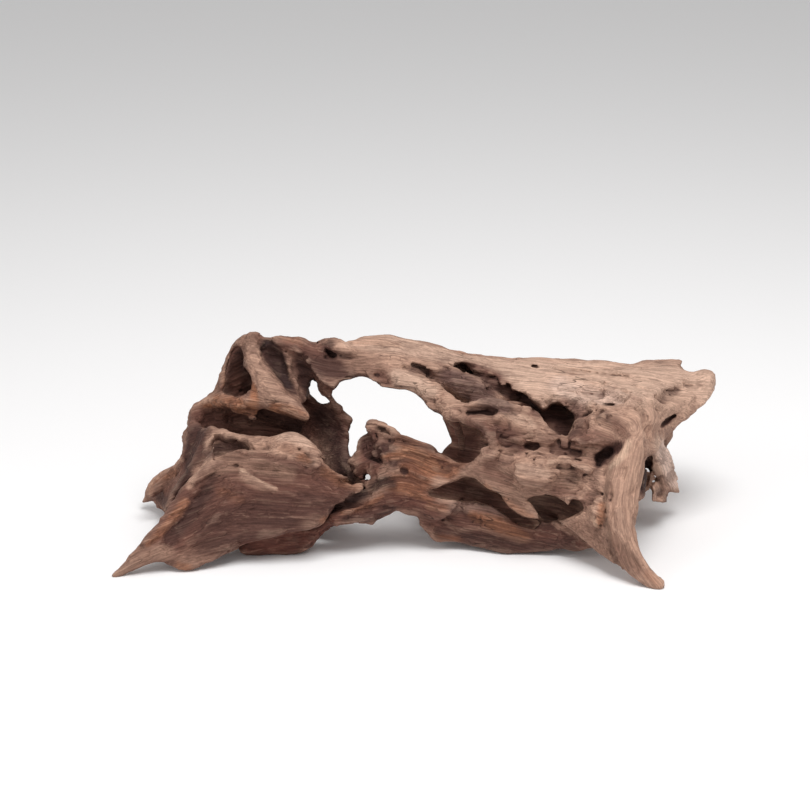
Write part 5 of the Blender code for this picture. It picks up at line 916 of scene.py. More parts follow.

# Tones brushed on the front, in order: tone, strength, then (column, row, radius) along the stroke.
# Some strokes, marked below, are painted shade or painted shadow in hollows, holes and under folds.
STROKES = [
    ("bleached", 1.0, [(520, 374, 22), (570, 380, 32), (620, 386, 36), (670, 386, 32), (704, 386, 22)]),
    ("bone", 0.45, [(560, 385, 10), (585, 397, 12), (612, 402, 12)]),
    ("sand", 0.5, [(660, 410, 16), (690, 408, 14)]),
    ("sand", 0.85, [(600, 415, 18), (632, 425, 20), (630, 460, 18), (625, 500, 20), (628, 540, 16),
        (650, 574, 12)]),
    ("sand", 1.0, [(345, 346, 12), (380, 350, 16), (420, 358, 16), (440, 380, 14), (455, 398, 12)]),
    ("bleached", 0.8, [(350, 341, 7), (380, 342, 10), (420, 349, 10), (460, 359, 9), (500, 364, 10)]),
    ("honey", 0.25, [(352, 342, 3), (372, 341, 4), (398, 345, 3)]),
    ("bleached", 0.9, [(398, 377, 9), (415, 383, 9), (430, 391, 8)]),
    ("umber", 0.9, [(306, 357, 9), (320, 366, 13), (336, 370, 11), (350, 372, 8)]),
    ("fawn", 0.8, [(355, 362, 11), (374, 366, 9)]),
    ("brown", 0.7, [(380, 376, 6), (388, 381, 5)]),
    ("umber", 0.7, [(412, 370, 4), (424, 371, 5), (434, 374, 4)]),
    ("fawn", 0.9, [(254, 340, 14), (262, 366, 13), (272, 392, 16), (290, 404, 12)]),
    ("brown", 0.5, [(254, 336, 7), (262, 340, 6)]),
    ("sand", 0.7, [(252, 346, 6), (255, 360, 8), (262, 380, 10), (272, 395, 11), (288, 404, 7)]),
    ("brown", 0.8, [(285, 341, 8), (300, 343, 8), (316, 350, 8)]),
    ("fawn", 0.5, [(276, 336, 3), (290, 337, 3), (306, 341, 3)]),
    ("honey", 0.25, [(286, 338, 4), (298, 341, 4)]),
    # painted shadow of the crest's main fold across its cheek, and painted shade behind the thin fold
    ("umber", 1.0, [(267, 346, 7), (274, 356, 10), (281, 368, 9), (288, 382, 7), (294, 392, 4)]),
    ("soot", 1.0, [(268, 347, 8), (275, 358, 10), (281, 369, 9), (288, 383, 7)]),
    ("umber", 0.8, [(299, 360, 7), (304, 370, 8), (306, 384, 8), (304, 396, 5)]),
    ("soot", 0.7, [(301, 364, 4), (305, 374, 5), (307, 386, 5)]),
    ("fawn", 0.8, [(289, 360, 3), (292, 376, 3), (300, 391, 3)]),
    ("umber", 0.9, [(330, 345, 5), (326, 351, 6), (335, 354, 6)]),
    ("umber", 0.6, [(343, 355, 4), (351, 356, 3)]),
    # brown for the wood inside the pocket; the soot over it is painted shade
    ("brown", 1.0, [(236, 354, 10), (238, 372, 13), (240, 388, 12)]),
    ("soot", 0.5, [(240, 352, 5), (247, 378, 5), (246, 388, 5)]),
    ("honey", 0.6, [(225, 374, 2.5), (224, 382, 2.5)]),
    ("honey", 0.95, [(202, 405, 4), (218, 402, 7), (236, 406, 9), (252, 411, 6)]),
    ("honey", 0.9, [(252, 408, 5), (254, 396, 4), (253, 386, 3)]),
    ("amber", 0.7, [(248, 411, 4), (244, 407, 3)]),
    ("honey", 1.0, [(274, 408, 5), (286, 412, 7), (298, 416, 7), (306, 420, 5)]),
    ("cream", 0.4, [(282, 408, 2.5), (296, 413, 2.5)]),
    ("sand", 0.7, [(193, 412, 4), (200, 403, 4), (210, 398, 3)]),
    ("brown", 1.0, [(205, 424, 14), (240, 426, 16), (280, 426, 16), (312, 424, 16)]),
    ("fawn", 0.3, [(235, 424, 6), (270, 420, 6), (300, 424, 6)]),
    # painted shade on the wall inside, right of the crest
    ("umber", 1.0, [(322, 414, 10), (338, 432, 12), (345, 460, 12), (346, 485, 10)]),
    ("soot", 0.6, [(318, 416, 9), (328, 440, 10), (336, 460, 11), (345, 476, 8)]),
    ("brown", 0.6, [(340, 412, 4), (348, 424, 5), (348, 440, 4)]),
    ("rust", 0.95, [(307, 403, 5), (315, 405, 5)]),
    ("brown", 1.0, [(196, 416, 10), (194, 440, 13), (182, 464, 13), (164, 484, 12), (150, 496, 8)]),
    ("fawn", 0.5, [(176, 470, 6), (168, 480, 6), (158, 488, 5)]),
    ("fawn", 0.8, [(188, 412, 3), (184, 438, 3), (177, 457, 4), (164, 474, 6), (148, 492, 5)]),
    ("umber", 0.85, [(204, 430, 8), (200, 446, 9), (193, 462, 8), (185, 480, 8), (172, 495, 7)]),
    ("soot", 0.7, [(196, 430, 6), (192, 442, 7), (190, 456, 7), (186, 472, 6), (177, 490, 5)]),
    ("umber", 0.9, [(160, 497, 6), (171, 506, 8), (184, 494, 6)]),
    ("honey", 0.6, [(150, 489, 4), (160, 478, 6), (172, 472, 5)]),
    ("sand", 0.8, [(148, 488, 3), (156, 476, 4), (168, 467, 5), (180, 460, 3)]),
    ("brown", 1.0, [(162, 542, 16), (200, 516, 32), (245, 498, 36), (290, 496, 36), (335, 495, 20)]),
    ("umber", 0.6, [(212, 532, 20), (258, 518, 22), (305, 508, 18), (335, 508, 9)]),
    ("fawn", 0.95, [(118, 575, 5), (134, 562, 9), (150, 554, 11), (166, 553, 7)]),
    ("fawn", 0.85, [(212, 468, 8), (240, 464, 9), (268, 468, 9), (288, 474, 8)]),
    ("umber", 0.5, [(205, 550, 9), (228, 543, 10), (255, 533, 9), (285, 524, 8)]),
    ("umber", 0.85, [(208, 492, 7), (196, 507, 9), (182, 525, 9), (170, 540, 8)]),
    ("soot", 0.4, [(210, 484, 5), (190, 516, 5), (176, 532, 5)]),
    ("umber", 0.6, [(212, 477, 5)]),
    ("amber", 0.5, [(222, 492, 5), (240, 500, 4)]),
    ("honey", 0.7, [(185, 502, 4), (177, 513, 5), (168, 524, 4), (158, 534, 4), (148, 544, 3)]),
    ("sand", 0.75, [(190, 486, 3.5), (194, 474, 4), (203, 466, 4), (214, 459, 4), (228, 452, 4)]),
    ("honey", 0.8, [(178, 567, 4), (188, 568, 4)]),
    ("honey", 0.6, [(325, 521, 5), (335, 518, 4)]),
    ("sand", 0.8, [(246, 443, 5), (272, 444, 9), (296, 446, 12), (312, 457, 9)]),
    ("bleached", 0.6, [(280, 436, 5), (292, 436, 6), (306, 444, 6)]),
    ("honey", 0.35, [(284, 450, 6), (298, 454, 6)]),
    ("sand", 0.8, [(256, 446, 3), (266, 448, 4), (280, 453, 4), (292, 457, 3)]),
    ("honey", 0.7, [(302, 457, 4), (309, 461, 3)]),
    ("soot", 0.7, [(313, 463, 2.5)]),
    ("sand", 0.9, [(206, 444, 3), (213, 434, 3), (226, 432, 3), (240, 438, 3.5)]),
    ("umber", 0.9, [(208, 455, 5), (218, 449, 6), (232, 446.5, 5), (244, 448, 3)]),
    ("sand", 0.6, [(242, 474, 3.5), (250, 481, 4.5), (262, 486, 4.5), (275, 489, 2.5)]),
    ("cream", 0.5, [(241, 470, 1.5), (252, 476, 1.5), (266, 484, 1.5), (276, 488, 1.5)]),
    ("honey", 0.55, [(326, 471, 6), (341, 481, 6), (357, 487, 5)]),
    ("brown", 1.0, [(370, 436, 9), (370, 456, 10), (366, 474, 9), (388, 446, 8)]),
    ("umber", 0.9, [(366, 443, 8), (376, 455, 9), (390, 447, 5), (394, 462, 6)]),
    ("fawn", 0.7, [(369, 424, 4), (378, 428, 4), (390, 434, 4)]),
    ("umber", 0.9, [(383, 429, 2.5)]),
    ("fawn", 0.3, [(382, 437, 3), (390, 446, 3)]),
    ("amber", 1.0, [(400, 440, 6), (418, 450, 9), (436, 462, 11), (452, 470, 9), (474, 466, 6)]),
    ("amber", 1.0, [(398, 486, 12), (420, 484, 12), (412, 466, 12)]),
    ("honey", 0.9, [(384, 457, 3), (394, 456, 4), (407, 452, 6), (421, 459, 7), (432, 470, 7)]),
    ("honey", 0.6, [(430, 462, 5), (448, 474, 4), (466, 472, 3)]),
    ("umber", 0.85, [(404, 471, 4)]),
    ("rust", 0.9, [(396, 500, 8), (412, 502, 9), (428, 502, 8)]),
    ("honey", 0.6, [(398, 491, 3), (414, 495, 3), (432, 500, 3)]),
    ("soot", 0.8, [(374, 487, 5), (384, 481, 6), (392, 484, 5)]),
    ("umber", 0.7, [(440, 452, 3), (430, 446, 3)]),
    ("brown", 1.0, [(338, 515, 6), (355, 512, 7), (372, 507, 8), (386, 498, 6)]),
    ("honey", 0.55, [(342, 513, 2.5), (356, 510, 2.5), (370, 504, 3), (381, 495, 3)]),
    # painted shade under the strand and in the cleft beside the fan
    ("umber", 0.95, [(345, 519, 4), (362, 519, 5), (380, 514, 6), (392, 508, 4)]),
    ("soot", 0.9, [(336, 508, 4), (350, 501, 5), (365, 493, 5)]),
    ("brown", 1.0, [(430, 518, 13), (470, 520, 18), (510, 532, 18), (560, 538, 15), (592, 538, 9)]),
    ("umber", 0.9, [(440, 532, 6), (475, 541, 9), (520, 549, 9), (570, 546, 9)]),
    ("umber", 0.6, [(540, 526, 7), (565, 530, 7), (585, 536, 6)]),
    ("ash", 0.7, [(452, 507, 6), (475, 507, 6), (500, 512, 5)]),
    ("honey", 0.8, [(472, 515, 4), (488, 521, 7), (505, 529, 7), (524, 537, 5)]),
    ("amber", 0.8, [(438, 538, 3.5), (458, 540, 3.5)]),
    ("amber", 0.8, [(430, 506, 4), (446, 508, 4)]),
    ("fawn", 0.6, [(446, 522, 2.5), (458, 530, 2.5), (480, 529, 2.5), (506, 537, 2.5),
        (530, 541, 2.5)]),
    ("fawn", 1.0, [(470, 410, 12), (500, 420, 16), (530, 430, 14), (560, 445, 14), (590, 450, 14)]),
    # painted shade on the slope into the round hollow
    ("brown", 0.65, [(564, 403, 6), (579, 412, 9), (583, 427, 9), (574, 440, 7)]),
    ("umber", 0.65, [(573, 409, 5), (578, 421, 6), (572, 433, 5)]),
    ("fawn", 1.0, [(466, 474, 8), (490, 466, 14), (520, 480, 14), (556, 486, 12)]),
    # painted shade in the bays of the face
    ("brown", 0.85, [(472, 424, 8), (488, 432, 10), (506, 436, 11), (520, 446, 8)]),
    ("umber", 0.55, [(498, 434, 6), (508, 440, 7), (518, 448, 6)]),
    ("umber", 0.5, [(480, 428, 5), (488, 440, 5)]),
    ("brown", 0.7, [(590, 436, 8), (604, 440, 8), (616, 446, 6)]),
    ("brown", 0.6, [(576, 468, 5), (584, 480, 7), (590, 494, 7), (584, 504, 6)]),
    ("umber", 0.5, [(596, 470, 3), (597, 484, 3.5), (592, 498, 4)]),
    ("brown", 0.5, [(556, 492, 6), (572, 496, 6)]),
    ("sand", 0.7, [(586, 470, 3), (587, 484, 3), (582, 496, 3)]),
    ("brown", 0.5, [(500, 456, 6), (488, 470, 6), (508, 480, 6)]),
    ("sand", 0.8, [(462, 406, 4), (474, 402, 4), (492, 402, 5), (512, 408, 7), (530, 416, 8),
        (546, 430, 6)]),
    ("sand", 0.7, [(492, 452, 3), (504, 456, 3), (518, 460, 3)]),
    ("sand", 0.85, [(500, 412, 5), (514, 417, 7), (530, 424, 7)]),
    ("bleached", 0.6, [(508, 414, 4), (520, 419, 5), (532, 425, 4)]),
    ("sand", 0.9, [(522, 470, 8), (540, 470, 9), (555, 476, 6)]),
    ("bleached", 0.5, [(520, 469, 5), (532, 471, 6), (546, 474, 5)]),
    ("umber", 0.6, [(541, 467, 2)]),
    ("sand", 0.45, [(575, 470, 9), (590, 478, 10), (600, 492, 10)]),
    ("brown", 0.3, [(550, 445, 5), (564, 449, 6), (580, 453, 5)]),
    # painted shadow right of the knob
    ("umber", 0.7, [(568, 481, 4), (575, 478, 4)]),
    # painted shade in the face pocket
    ("umber", 0.9, [(598, 464, 6), (605, 456, 9), (614, 449, 7), (620, 444, 4)]),
    ("fawn", 0.8, [(602, 416, 5), (618, 426, 8), (624, 434, 7)]),
    ("brown", 0.6, [(614, 424, 4), (622, 431, 5)]),
    ("umber", 0.7, [(598, 418, 2), (602, 412, 2.5), (607, 414, 2), (608, 420, 2)]),
    ("brown", 0.3, [(606, 392, 4), (616, 388, 3)]),
    ("brown", 0.4, [(630, 396, 3), (640, 400, 3)]),
    ("fawn", 1.0, [(482, 480, 6), (500, 493, 7), (520, 508, 6), (537, 517, 4)]),
    ("honey", 0.5, [(486, 486, 3), (502, 498, 3.5), (516, 510, 3.5), (532, 517, 3)]),
    ("cream", 0.9, [(629, 442, 3), (625, 451, 3.5), (619, 460, 3.5), (611, 467, 2.5)]),
    ("honey", 0.85, [(602, 506, 4), (601, 516, 4.5), (598, 525, 4)]),
    ("cream", 0.6, [(593, 518, 2.5), (596, 526, 2.5)]),
    ("fawn", 1.0, [(560, 523, 7), (588, 536, 10), (610, 550, 10), (636, 569, 8)]),
    ("honey", 0.4, [(648, 574, 4), (657, 584, 4)]),
    # brown for the wood inside the gap, tunnel, cave and channel; the umber over it is painted shade
    ("brown", 1.0, [(438, 489, 6), (462, 490, 12), (488, 499, 9), (512, 515, 6), (530, 525, 5)]),
    ("umber", 0.5, [(462, 488, 7), (488, 498, 6)]),
    ("brown", 1.0, [(446, 428, 9), (458, 436, 11), (470, 442, 13), (466, 457, 8), (448, 450, 7)]),
    ("umber", 0.5, [(468, 440, 8), (466, 452, 7)]),
    ("brown", 0.9, [(453, 420, 3.5), (458, 428, 3.5)]),
    ("umber", 0.6, [(536, 506, 8), (552, 508, 11), (572, 508, 9)]),
    ("brown", 0.4, [(552, 512, 9), (572, 512, 6)]),
    ("brown", 1.0, [(512, 396, 7), (528, 404, 7), (544, 416, 9), (560, 422, 11), (566, 432, 7)]),
    ("umber", 0.4, [(548, 414, 5), (560, 424, 7)]),
    ("brown", 0.9, [(462, 364, 4), (474, 368, 5), (490, 376, 7), (503, 385, 7), (516, 394, 5)]),
    # painted shade in the eye slot, the small hole and the horn slot
    ("umber", 0.9, [(470, 412, 4), (480, 413, 4), (492, 413.5, 3)]),
    ("umber", 0.9, [(527, 446, 4), (537, 446, 4)]),
    ("umber", 0.9, [(663, 425, 3), (673, 417, 3)]),
    ("ash", 1.0, [(446, 376, 8), (464, 384, 12), (484, 396, 12), (505, 406, 8)]),
    ("umber", 0.35, [(450, 380, 8), (466, 386, 10), (486, 397, 10), (505, 406, 8)]),
    # painted shadow in the crevice between the inner branch and the bank
    ("umber", 0.8, [(470, 372, 5), (490, 382, 6), (506, 392, 5)]),
    ("bleached", 1.0, [(660, 446, 10), (668, 462, 11), (676, 482, 9)]),
    ("bone", 0.9, [(663, 448, 8), (669, 463, 9), (676, 480, 8)]),
    # painted shade in the slot beside the leg and between the flange teeth
    ("umber", 0.95, [(646, 460, 5), (645, 476, 8), (642, 490, 6)]),
    ("soot", 0.95, [(648, 462, 5), (647, 474, 6), (645, 486, 6)]),
    ("umber", 0.8, [(659, 492, 5)]),
    ("umber", 0.55, [(661, 403, 4), (666, 396, 6), (674, 391, 5)]),
    ("sand", 0.35, [(248, 448, 3), (262, 446, 3), (286, 447, 3), (300, 452, 3)]),
    ("rust", 1.0, [(245, 546, 12), (275, 547, 15), (305, 538, 14), (332, 523, 7)]),
]

# Patterns of the surface: size in three directions, and a shift that keeps each apart. Ridge, groove and
# fibre lie along, across and into the grain, the others by column, row and depth.
PATTERNS = {
    "ridge": ((60, 8, 8), (0, 0, 3)),
    "groove": ((48, 6.5, 6.5), (11, 0, 0)),
    "fibre": ((26, 3.4, 3.4), (7, 0, 0)),
    "lump": ((14, 10, 14), (5, 0, 0)),
    "small lump": ((7, 5.5, 7), (5, 0, 8)),
    "tear": ((12, 8, 12), (3, 0, 0)),
    "patch": ((34, 24, 34), (17, 0, 0)),
    "pit": ((6.5, 6.5, 6.5), (31, 0, 0)),
    "pale patch": ((45, 30, 45), (0, 0, 0)),
    "small pale patch": ((16, 12, 16), (9, 0, 0)),
}
TEAR_SLANT = 12  # so far across the grain, a tear shifts by the height of one tear
SMOOTH = 0.8  # how rough the wood is where ROUGH has nothing to say
RIDGES, GROOVES, FIBRES, PITS, TEARS = 0.7, 1.5, 0.45, 4.0, 1.3  # how deep each goes, in sheet steps
SMALL_LUMPS = 0.6  # against the depth of a lump
GROOVE_MEAN, GROOVE_SPREAD = 0.75, 0.9  # strength of the grooves, and how far it varies in patches
GROOVE_LEAST, GROOVE_MOST = 0.1, 1.5  # the ends of that
GROOVE_NARROW, TEAR_NARROW = 4.5, 3.5  # the higher, the narrower is the line
PIT_LEVEL = 0.56  # a pit starts where its pattern is above this
ROUGH_END = 1.4  # a rough place ends at this many radii, and is full one radius further in
WORKED_DEPTH = 5  # how far from the surface the working reaches into the grid
FOOT_FADE = 6  # the working fades out over this height above the floor

# How shut in a point is: how far the wood is counted, in coarse nodes, and how far off the surface.
# The material paints shade where a point is shut in.
HOLLOWS = {"near_hollow": (1, 1.5), "mid_hollow": (3, 5), "far_hollow": (7, 12)}
COARSE = 2  # grid points for each coarse node

PALER_FROM, PALER_OVER = 330, 160  # columns from which, and over which, the ground turns paler
UPWARD_SHARE, PATCH_SHARE = 0.6, 0.35  # what the way a side faces, and a pale patch, add to the ground
STROKE_STEP = 4.0  # spacing of the spots along a stroke
STROKE_MIDDLE, STROKE_FALL = 1.6, 1.1  # its strength: the first, less the second for each radius
STROKE_EDGE = 1.5  # a stroke has ended at this many radii
STROKE_DEPTH = 6  # how much further than twice its radius a stroke reaches into the wood


def srgb(text):
    """A colour given as in a paint chart, made linear."""
    parts = [int(text[i : i + 2], 16) / 255 for i in (0, 2, 4)]
    return tuple(c / 12.92 if c <= 0.04045 else ((c + 0.055) / 1.055) ** 2.4 for c in parts) + (1.0,)


def sample(grid, low, h, points):
    """Values of a coarse grid at points: the mean of the eight nearest nodes, weighed by nearness."""
    u = (points - low) / h
    top = np.array(grid.shape[:3]) - 2
    c = np.clip(np.floor(u).astype(np.int64), 0, top)
    t = np.clip(u - c, 0, 1)
    out = 0
    for n in range(8):
        d = np.array([n & 1, n >> 1 & 1, n >> 2 & 1])
        w = np.prod(np.where(d, t, 1 - t), axis=1)
        i, j, k = (c + d).T
        v = grid[i, j, k]
        out = out + (v * w if v.ndim == 1 else v * w[:, None])
    return out


def ends(axis, count=1):
    """Slices of a grid that leave out this many nodes at its start, and at its end, along one axis."""
    lead, tail = [slice(None)] * 3, [slice(None)] * 3
    lead[axis], tail[axis] = slice(count, None), slice(None, -count)
    return tuple(lead), tuple(tail)


class Grain:
    """Three coordinates that run along, across and into the grain, bent to follow the grain lines.

    At each node of a coarse grid, along is the mean direction of the lines, the nearest counting most.
    Across is square to it and flat in the sheet, and into is square to both. Each coordinate is the field
    whose slope fits its direction best.
    """

    PITCH = 11.0  # sheet steps between the nodes
    FAINT = 2e-6  # a pull along the columns that only counts where no line is near
    SOFT = 60  # keeps a line from overruling those beside it
    LEAST_ACROSS = 0.15  # where the grain runs straight in, its sideways direction fades
    LINE_DEPTH = 4  # how far under the surface a drawn line lies
    LINE_JUMP = 40  # a bigger jump in depth than this is another surface
    LINE_STEP, CORE_STEP = 8.0, 12.0  # spacing of the points along a drawn line, and along a limb inside
    ROUNDS = 160  # of conjugate gradients
    LIMB_BOX, LIMB_EDGE, LIMB_START = 60, 5, 30  # how far round a limb to look, and over what it fades in
    LIMB_DEPTH, LIMB_BACK = 55, 8  # how far behind its line a limb's own grain reaches, and its fading

    def __init__(self, b):
        self.low = np.asarray(LOW, float)
        shape = tuple(int((high - low) / self.PITCH) + 2 for low, high in zip(LOW, HIGH))
        axes = [self.low[i] + self.PITCH * np.arange(shape[i]) for i in range(3)]
        nodes = np.stack(np.meshgrid(*axes, indexing="ij"), -1)
        along = np.zeros(shape + (3,))
        along[..., 0] = self.FAINT
        for path in self.paths(b):
            middle, run = (path[1:] + path[:-1]) / 2, path[1:] - path[:-1]
            run /= np.linalg.norm(run, axis=1)[:, None] + 1e-9
            cells = np.rint((middle - self.low) / self.PITCH).astype(int)
            i, j, k = np.clip(cells, 0, np.array(shape) - 1).T
            here = along[i, j, k]
            if (here / (np.linalg.norm(here, axis=1)[:, None] + 1e-9) * run).sum() < 0:
                run = -run
            for m, d in zip(middle, run):
                gap = ((nodes - m) ** 2).sum(-1)
                along += (1 / (gap + self.SOFT) ** 2)[..., None] * d
        along /= np.linalg.norm(along, axis=-1, keepdims=True) + 1e-9
        across = np.stack([-along[..., 1], along[..., 0], 0 * along[..., 0]], -1)
        across /= np.maximum(np.linalg.norm(across, axis=-1, keepdims=True), self.LEAST_ACROSS)
        into = np.cross(along, across)
        self.fields = np.stack([self.fit(v) for v in (along, across, into)], -1)
        self.limbs = [self.limb(b, *line) for line in LIMB_LINES.values()]

    def paths(self, b):
        """The drawn lines, laid just under the front of the wood, and then the round limbs inside it."""
        for points in GRAIN_LINES.values():
            rows, last = [], None
            for x, y in points:
                met = b.front(x, y)
                if met is not None and (last is None or abs(met - last) < self.LINE_JUMP):
                    last = met
                if last is not None:
                    rows.append((x, y, last + self.LINE_DEPTH))
            if len(rows) > 1:
                yield smooth_path(rows, self.LINE_STEP)
        for points in [*CORES.values(), LEG_SPINE, FOOT, INNER_BRANCH]:
            yield smooth_path(np.asarray(points, float)[:, :3], self.CORE_STEP)

    def fit(self, wanted):
        """The field whose slope comes nearest to the wanted one, found by conjugate gradients.

        What leaves each node along the slopes of the field has to equal what leaves it as wanted.
        """
        shape = wanted.shape[:3]

        def gather(parts):
            """For each node, the step that leads to it less the one that leads on, over all the axes."""
            out = np.zeros(shape)
            for axis, steps in enumerate(parts):
                width = [(0, 0)] * 3
                width[axis] = (1, 0)
                out += np.pad(steps, width)
                width[axis] = (0, 1)
                out -= np.pad(steps, width)
            return out

        def slopes(field):
            return [np.diff(field, axis=axis) for axis in range(3)]

        goal = []
        for axis in range(3):
            lead, tail = ends(axis)
            v = wanted[..., axis] * self.PITCH
            goal.append((v[lead] + v[tail]) / 2)
        field = np.zeros(shape)
        rest = gather(goal) - gather(slopes(field))
        step, size = rest.copy(), (rest**2).sum()
        for _ in range(self.ROUNDS):
            moved = gather(slopes(step))
            share = size / max((step * moved).sum(), 1e-12)
            field += share * step
            rest -= share * moved
            new = (rest**2).sum()
            step = rest + new / max(size, 1e-12) * step
            size = new
        return field - field.mean()

    def limb(self, b, points, reach):
        """The line of a limb along the front, the grain coordinates where it starts, and its reach."""
        path = smooth_path([(x, y, b.front(x, y)) for x, y in points], self.LINE_STEP)
        return path, sample(self.fields, self.low, self.PITCH, path[:1])[0], reach

    def at(self, points):
        """The grain coordinates of points, mixed from the nearest nodes.

        On a limb they are the length along its own line, and the distance beside and behind it.
        """
        out = sample(self.fields, self.low, self.PITCH, points)
        for path, start, reach in self.limbs:
            low, high = path.min(0) - self.LIMB_BOX, path.max(0) + self.LIMB_BOX
            near = np.nonzero(np.all((points > low) & (points < high), axis=1))[0]
            best, own, run = np.full(len(near), 1e9), np.zeros((len(near), 3)), 0.0
            for a, c in zip(path[:-1], path[1:]):
                size = np.hypot(*(c - a)[:2])
                way = (c - a)[:2] / size
                off = points[near, :2] - a[:2]
                t, side = np.clip(off @ way, 0, size), off @ (-way[1], way[0])
                gap = np.hypot(off @ way - t, side)
                closer = gap < best
                best[closer] = gap[closer]
                depth = points[near, 2] - a[2] - t / size * (c - a)[2]
                own[closer] = np.stack([run + t, side, depth], 1)[closer]
                run += size
            share = np.clip((reach - best) / self.LIMB_EDGE, 0, 1)
            share *= np.clip(own[:, 0] / self.LIMB_START, 0, 1)
            share *= np.clip((self.LIMB_DEPTH - np.abs(own[:, 2])) / self.LIMB_BACK, 0, 1)
            out[near] += share[:, None] * (own + start - out[near])
        return out


def pattern(name, places, slant=0.0):
    """Smooth random values: a place is divided by the pattern's size, then shifted, then slanted."""
    size, shift = (np.array(v, float) for v in PATTERNS[name])
    return NOISE(*(places / size + shift + slant).T)


def lines_of(field, narrow):
    """1 where the field crosses zero, and less by narrow times its value on either side, down to 0."""
    return np.clip(1 - narrow * np.abs(field), 0, 1)


def working(points, grain):
    """How deep the surface is worked at points, in sheet steps.

    It is the sum of lumps, ridges, thin grooves and fibres along the grain, and pits. Lumps and pits are
    deeper where the wood is rough, and only there does it have tears.
    """
    run = grain.at(points)
    rough = np.full(len(points), SMOOTH)
    for x0, y0, reach, more in ROUGH:
        far = np.hypot(points[:, 0] - x0, points[:, 1] - y0) / reach
        rough = np.maximum(rough, SMOOTH + more * np.clip(ROUGH_END - far, 0, 1))
    lump = pattern("lump", points) + SMALL_LUMPS * pattern("small lump", points)
    ridge = 1 - 2 * np.abs(pattern("ridge", run))
    patch = np.clip(GROOVE_MEAN + GROOVE_SPREAD * pattern("patch", points), GROOVE_LEAST, GROOVE_MOST)
    groove = lines_of(pattern("groove", run), GROOVE_NARROW)
    pit = np.clip(pattern("pit", points) - PIT_LEVEL, 0, 1)
    slant = np.zeros_like(points)
    slant[:, 1] = run[:, 1] / TEAR_SLANT
    tear = lines_of(pattern("tear", points, slant), TEAR_NARROW)
    worn = rough * lump - RIDGES * ridge + FIBRES * pattern("fibre", run) + PITS * pit * rough
    return worn + GROOVES * patch * groove + TEARS * (rough - SMOOTH) * tear


def wear(b, grain):
    """Move the surface inwards by how deep it is worked, but leave the feet flat on the floor.

    The working fades in with height above the floor, and whatever would lie below the floor is cut off.
    """
    i, j, k = np.nonzero(np.abs(b.value) < WORKED_DEPTH)
    points = np.stack([b.axes[0][i], b.axes[1][j], b.axes[2][k]], 1)
    height = to_world(*points.T)[2] / STEP
    change = np.clip(height / FOOT_FADE, 0, 1) * working(points, grain)
    b.value[i, j, k] = np.maximum(b.value[i, j, k] + change, -height).astype(np.float32)


def skin_of(b):
    """Points and four-sided faces of the surface where value is 0; only the largest closed skin is kept.

    Each point takes the least label of the faces round it, until nothing changes: one label to a skin.
    """
    grid = openvdb.FloatGrid(FAR)
    grid.copyFromArray(b.value)
    points, quads = grid.convertToQuads(0.0)
    points, quads = points.astype(float), quads.astype(np.int64)
    label = np.arange(len(points))
    while True:
        least = label[quads].min(1)
        new = label.copy()
        for c in range(4):
            np.minimum.at(new, quads[:, c], least)
        new = new[new]
        if (new == label).all():
            break
        label = new
    names, counts = np.unique(label[quads[:, 0]], return_counts=True)
    quads = quads[label[quads[:, 0]] == names[counts.argmax()]]
    used, flat = np.unique(quads, return_inverse=True)
    return b.low + b.h * points[used], flat.reshape(quads.shape)


def mesh_of(name, world, quads):
    """A mesh of points in the room and four-sided faces."""
    mesh = bpy.data.meshes.new(name)
    mesh.vertices.add(len(world))
    mesh.vertices.foreach_set("co", world.astype(np.float32).ravel())
    mesh.loops.add(quads.size)
    mesh.loops.foreach_set("vertex_index", quads.astype(np.int32).ravel())
    mesh.polygons.add(len(quads))
    mesh.polygons.foreach_set("loop_start", np.arange(0, quads.size, 4, dtype=np.int32))
    mesh.update(calc_edges=True)
    return mesh


def read(items, name):
    """One vector for each of a mesh's items, such as the place of each point."""
    out = np.empty(len(items) * 3, np.float32)
    items.foreach_get(name, out)
    return out.reshape(-1, 3).astype(float)


def to_sheet(world):
    """The column, row and depth of points in the room: the reverse of to_world."""
    c, s = math.cos(VIEW_TILT), math.sin(VIEW_TILT)
    p = (world + (CENTRE_X, CENTRE_Y, -(FLOOR_ROW - SHEET_MIDDLE) * c * STEP)) / STEP
    away = p[:, 1] * c - p[:, 2] * s
    rise = p[:, 1] * s + p[:, 2] * c
    grow = 1 + away * STEP / VIEW_DISTANCE
    return np.stack([SHEET_MIDDLE + p[:, 0] / grow, SHEET_MIDDLE - rise / grow, away / DEPTH_SCALE], 1)


def blurred(a, r):
    """A mean over 2r+1 nodes along each axis, done twice: the difference of two running totals."""
    wide = 2 * r + 1
    for axis in (0, 1, 2, 0, 1, 2):
        width = [(0, 0)] * 3
        width[axis] = (r + 1, r)
        total = np.cumsum(np.pad(a, width, mode="edge"), axis)
        lead, tail = ends(axis, wide)
        a = (total[lead] - total[tail]) / wide
    return a


def hollowness(b, sheet, normal):
    """How shut in each point is: the share of wood round a place just off it, near to and far out."""
    # the material turns these shares into painted shade in hollows and creases
    coarse = (b.value[::COARSE, ::COARSE, ::COARSE] < 0).astype(np.float32)
    return {name: sample(blurred(coarse, reach), b.low, b.h * COARSE, sheet + off * normal)
            for name, (reach, off) in HOLLOWS.items()}


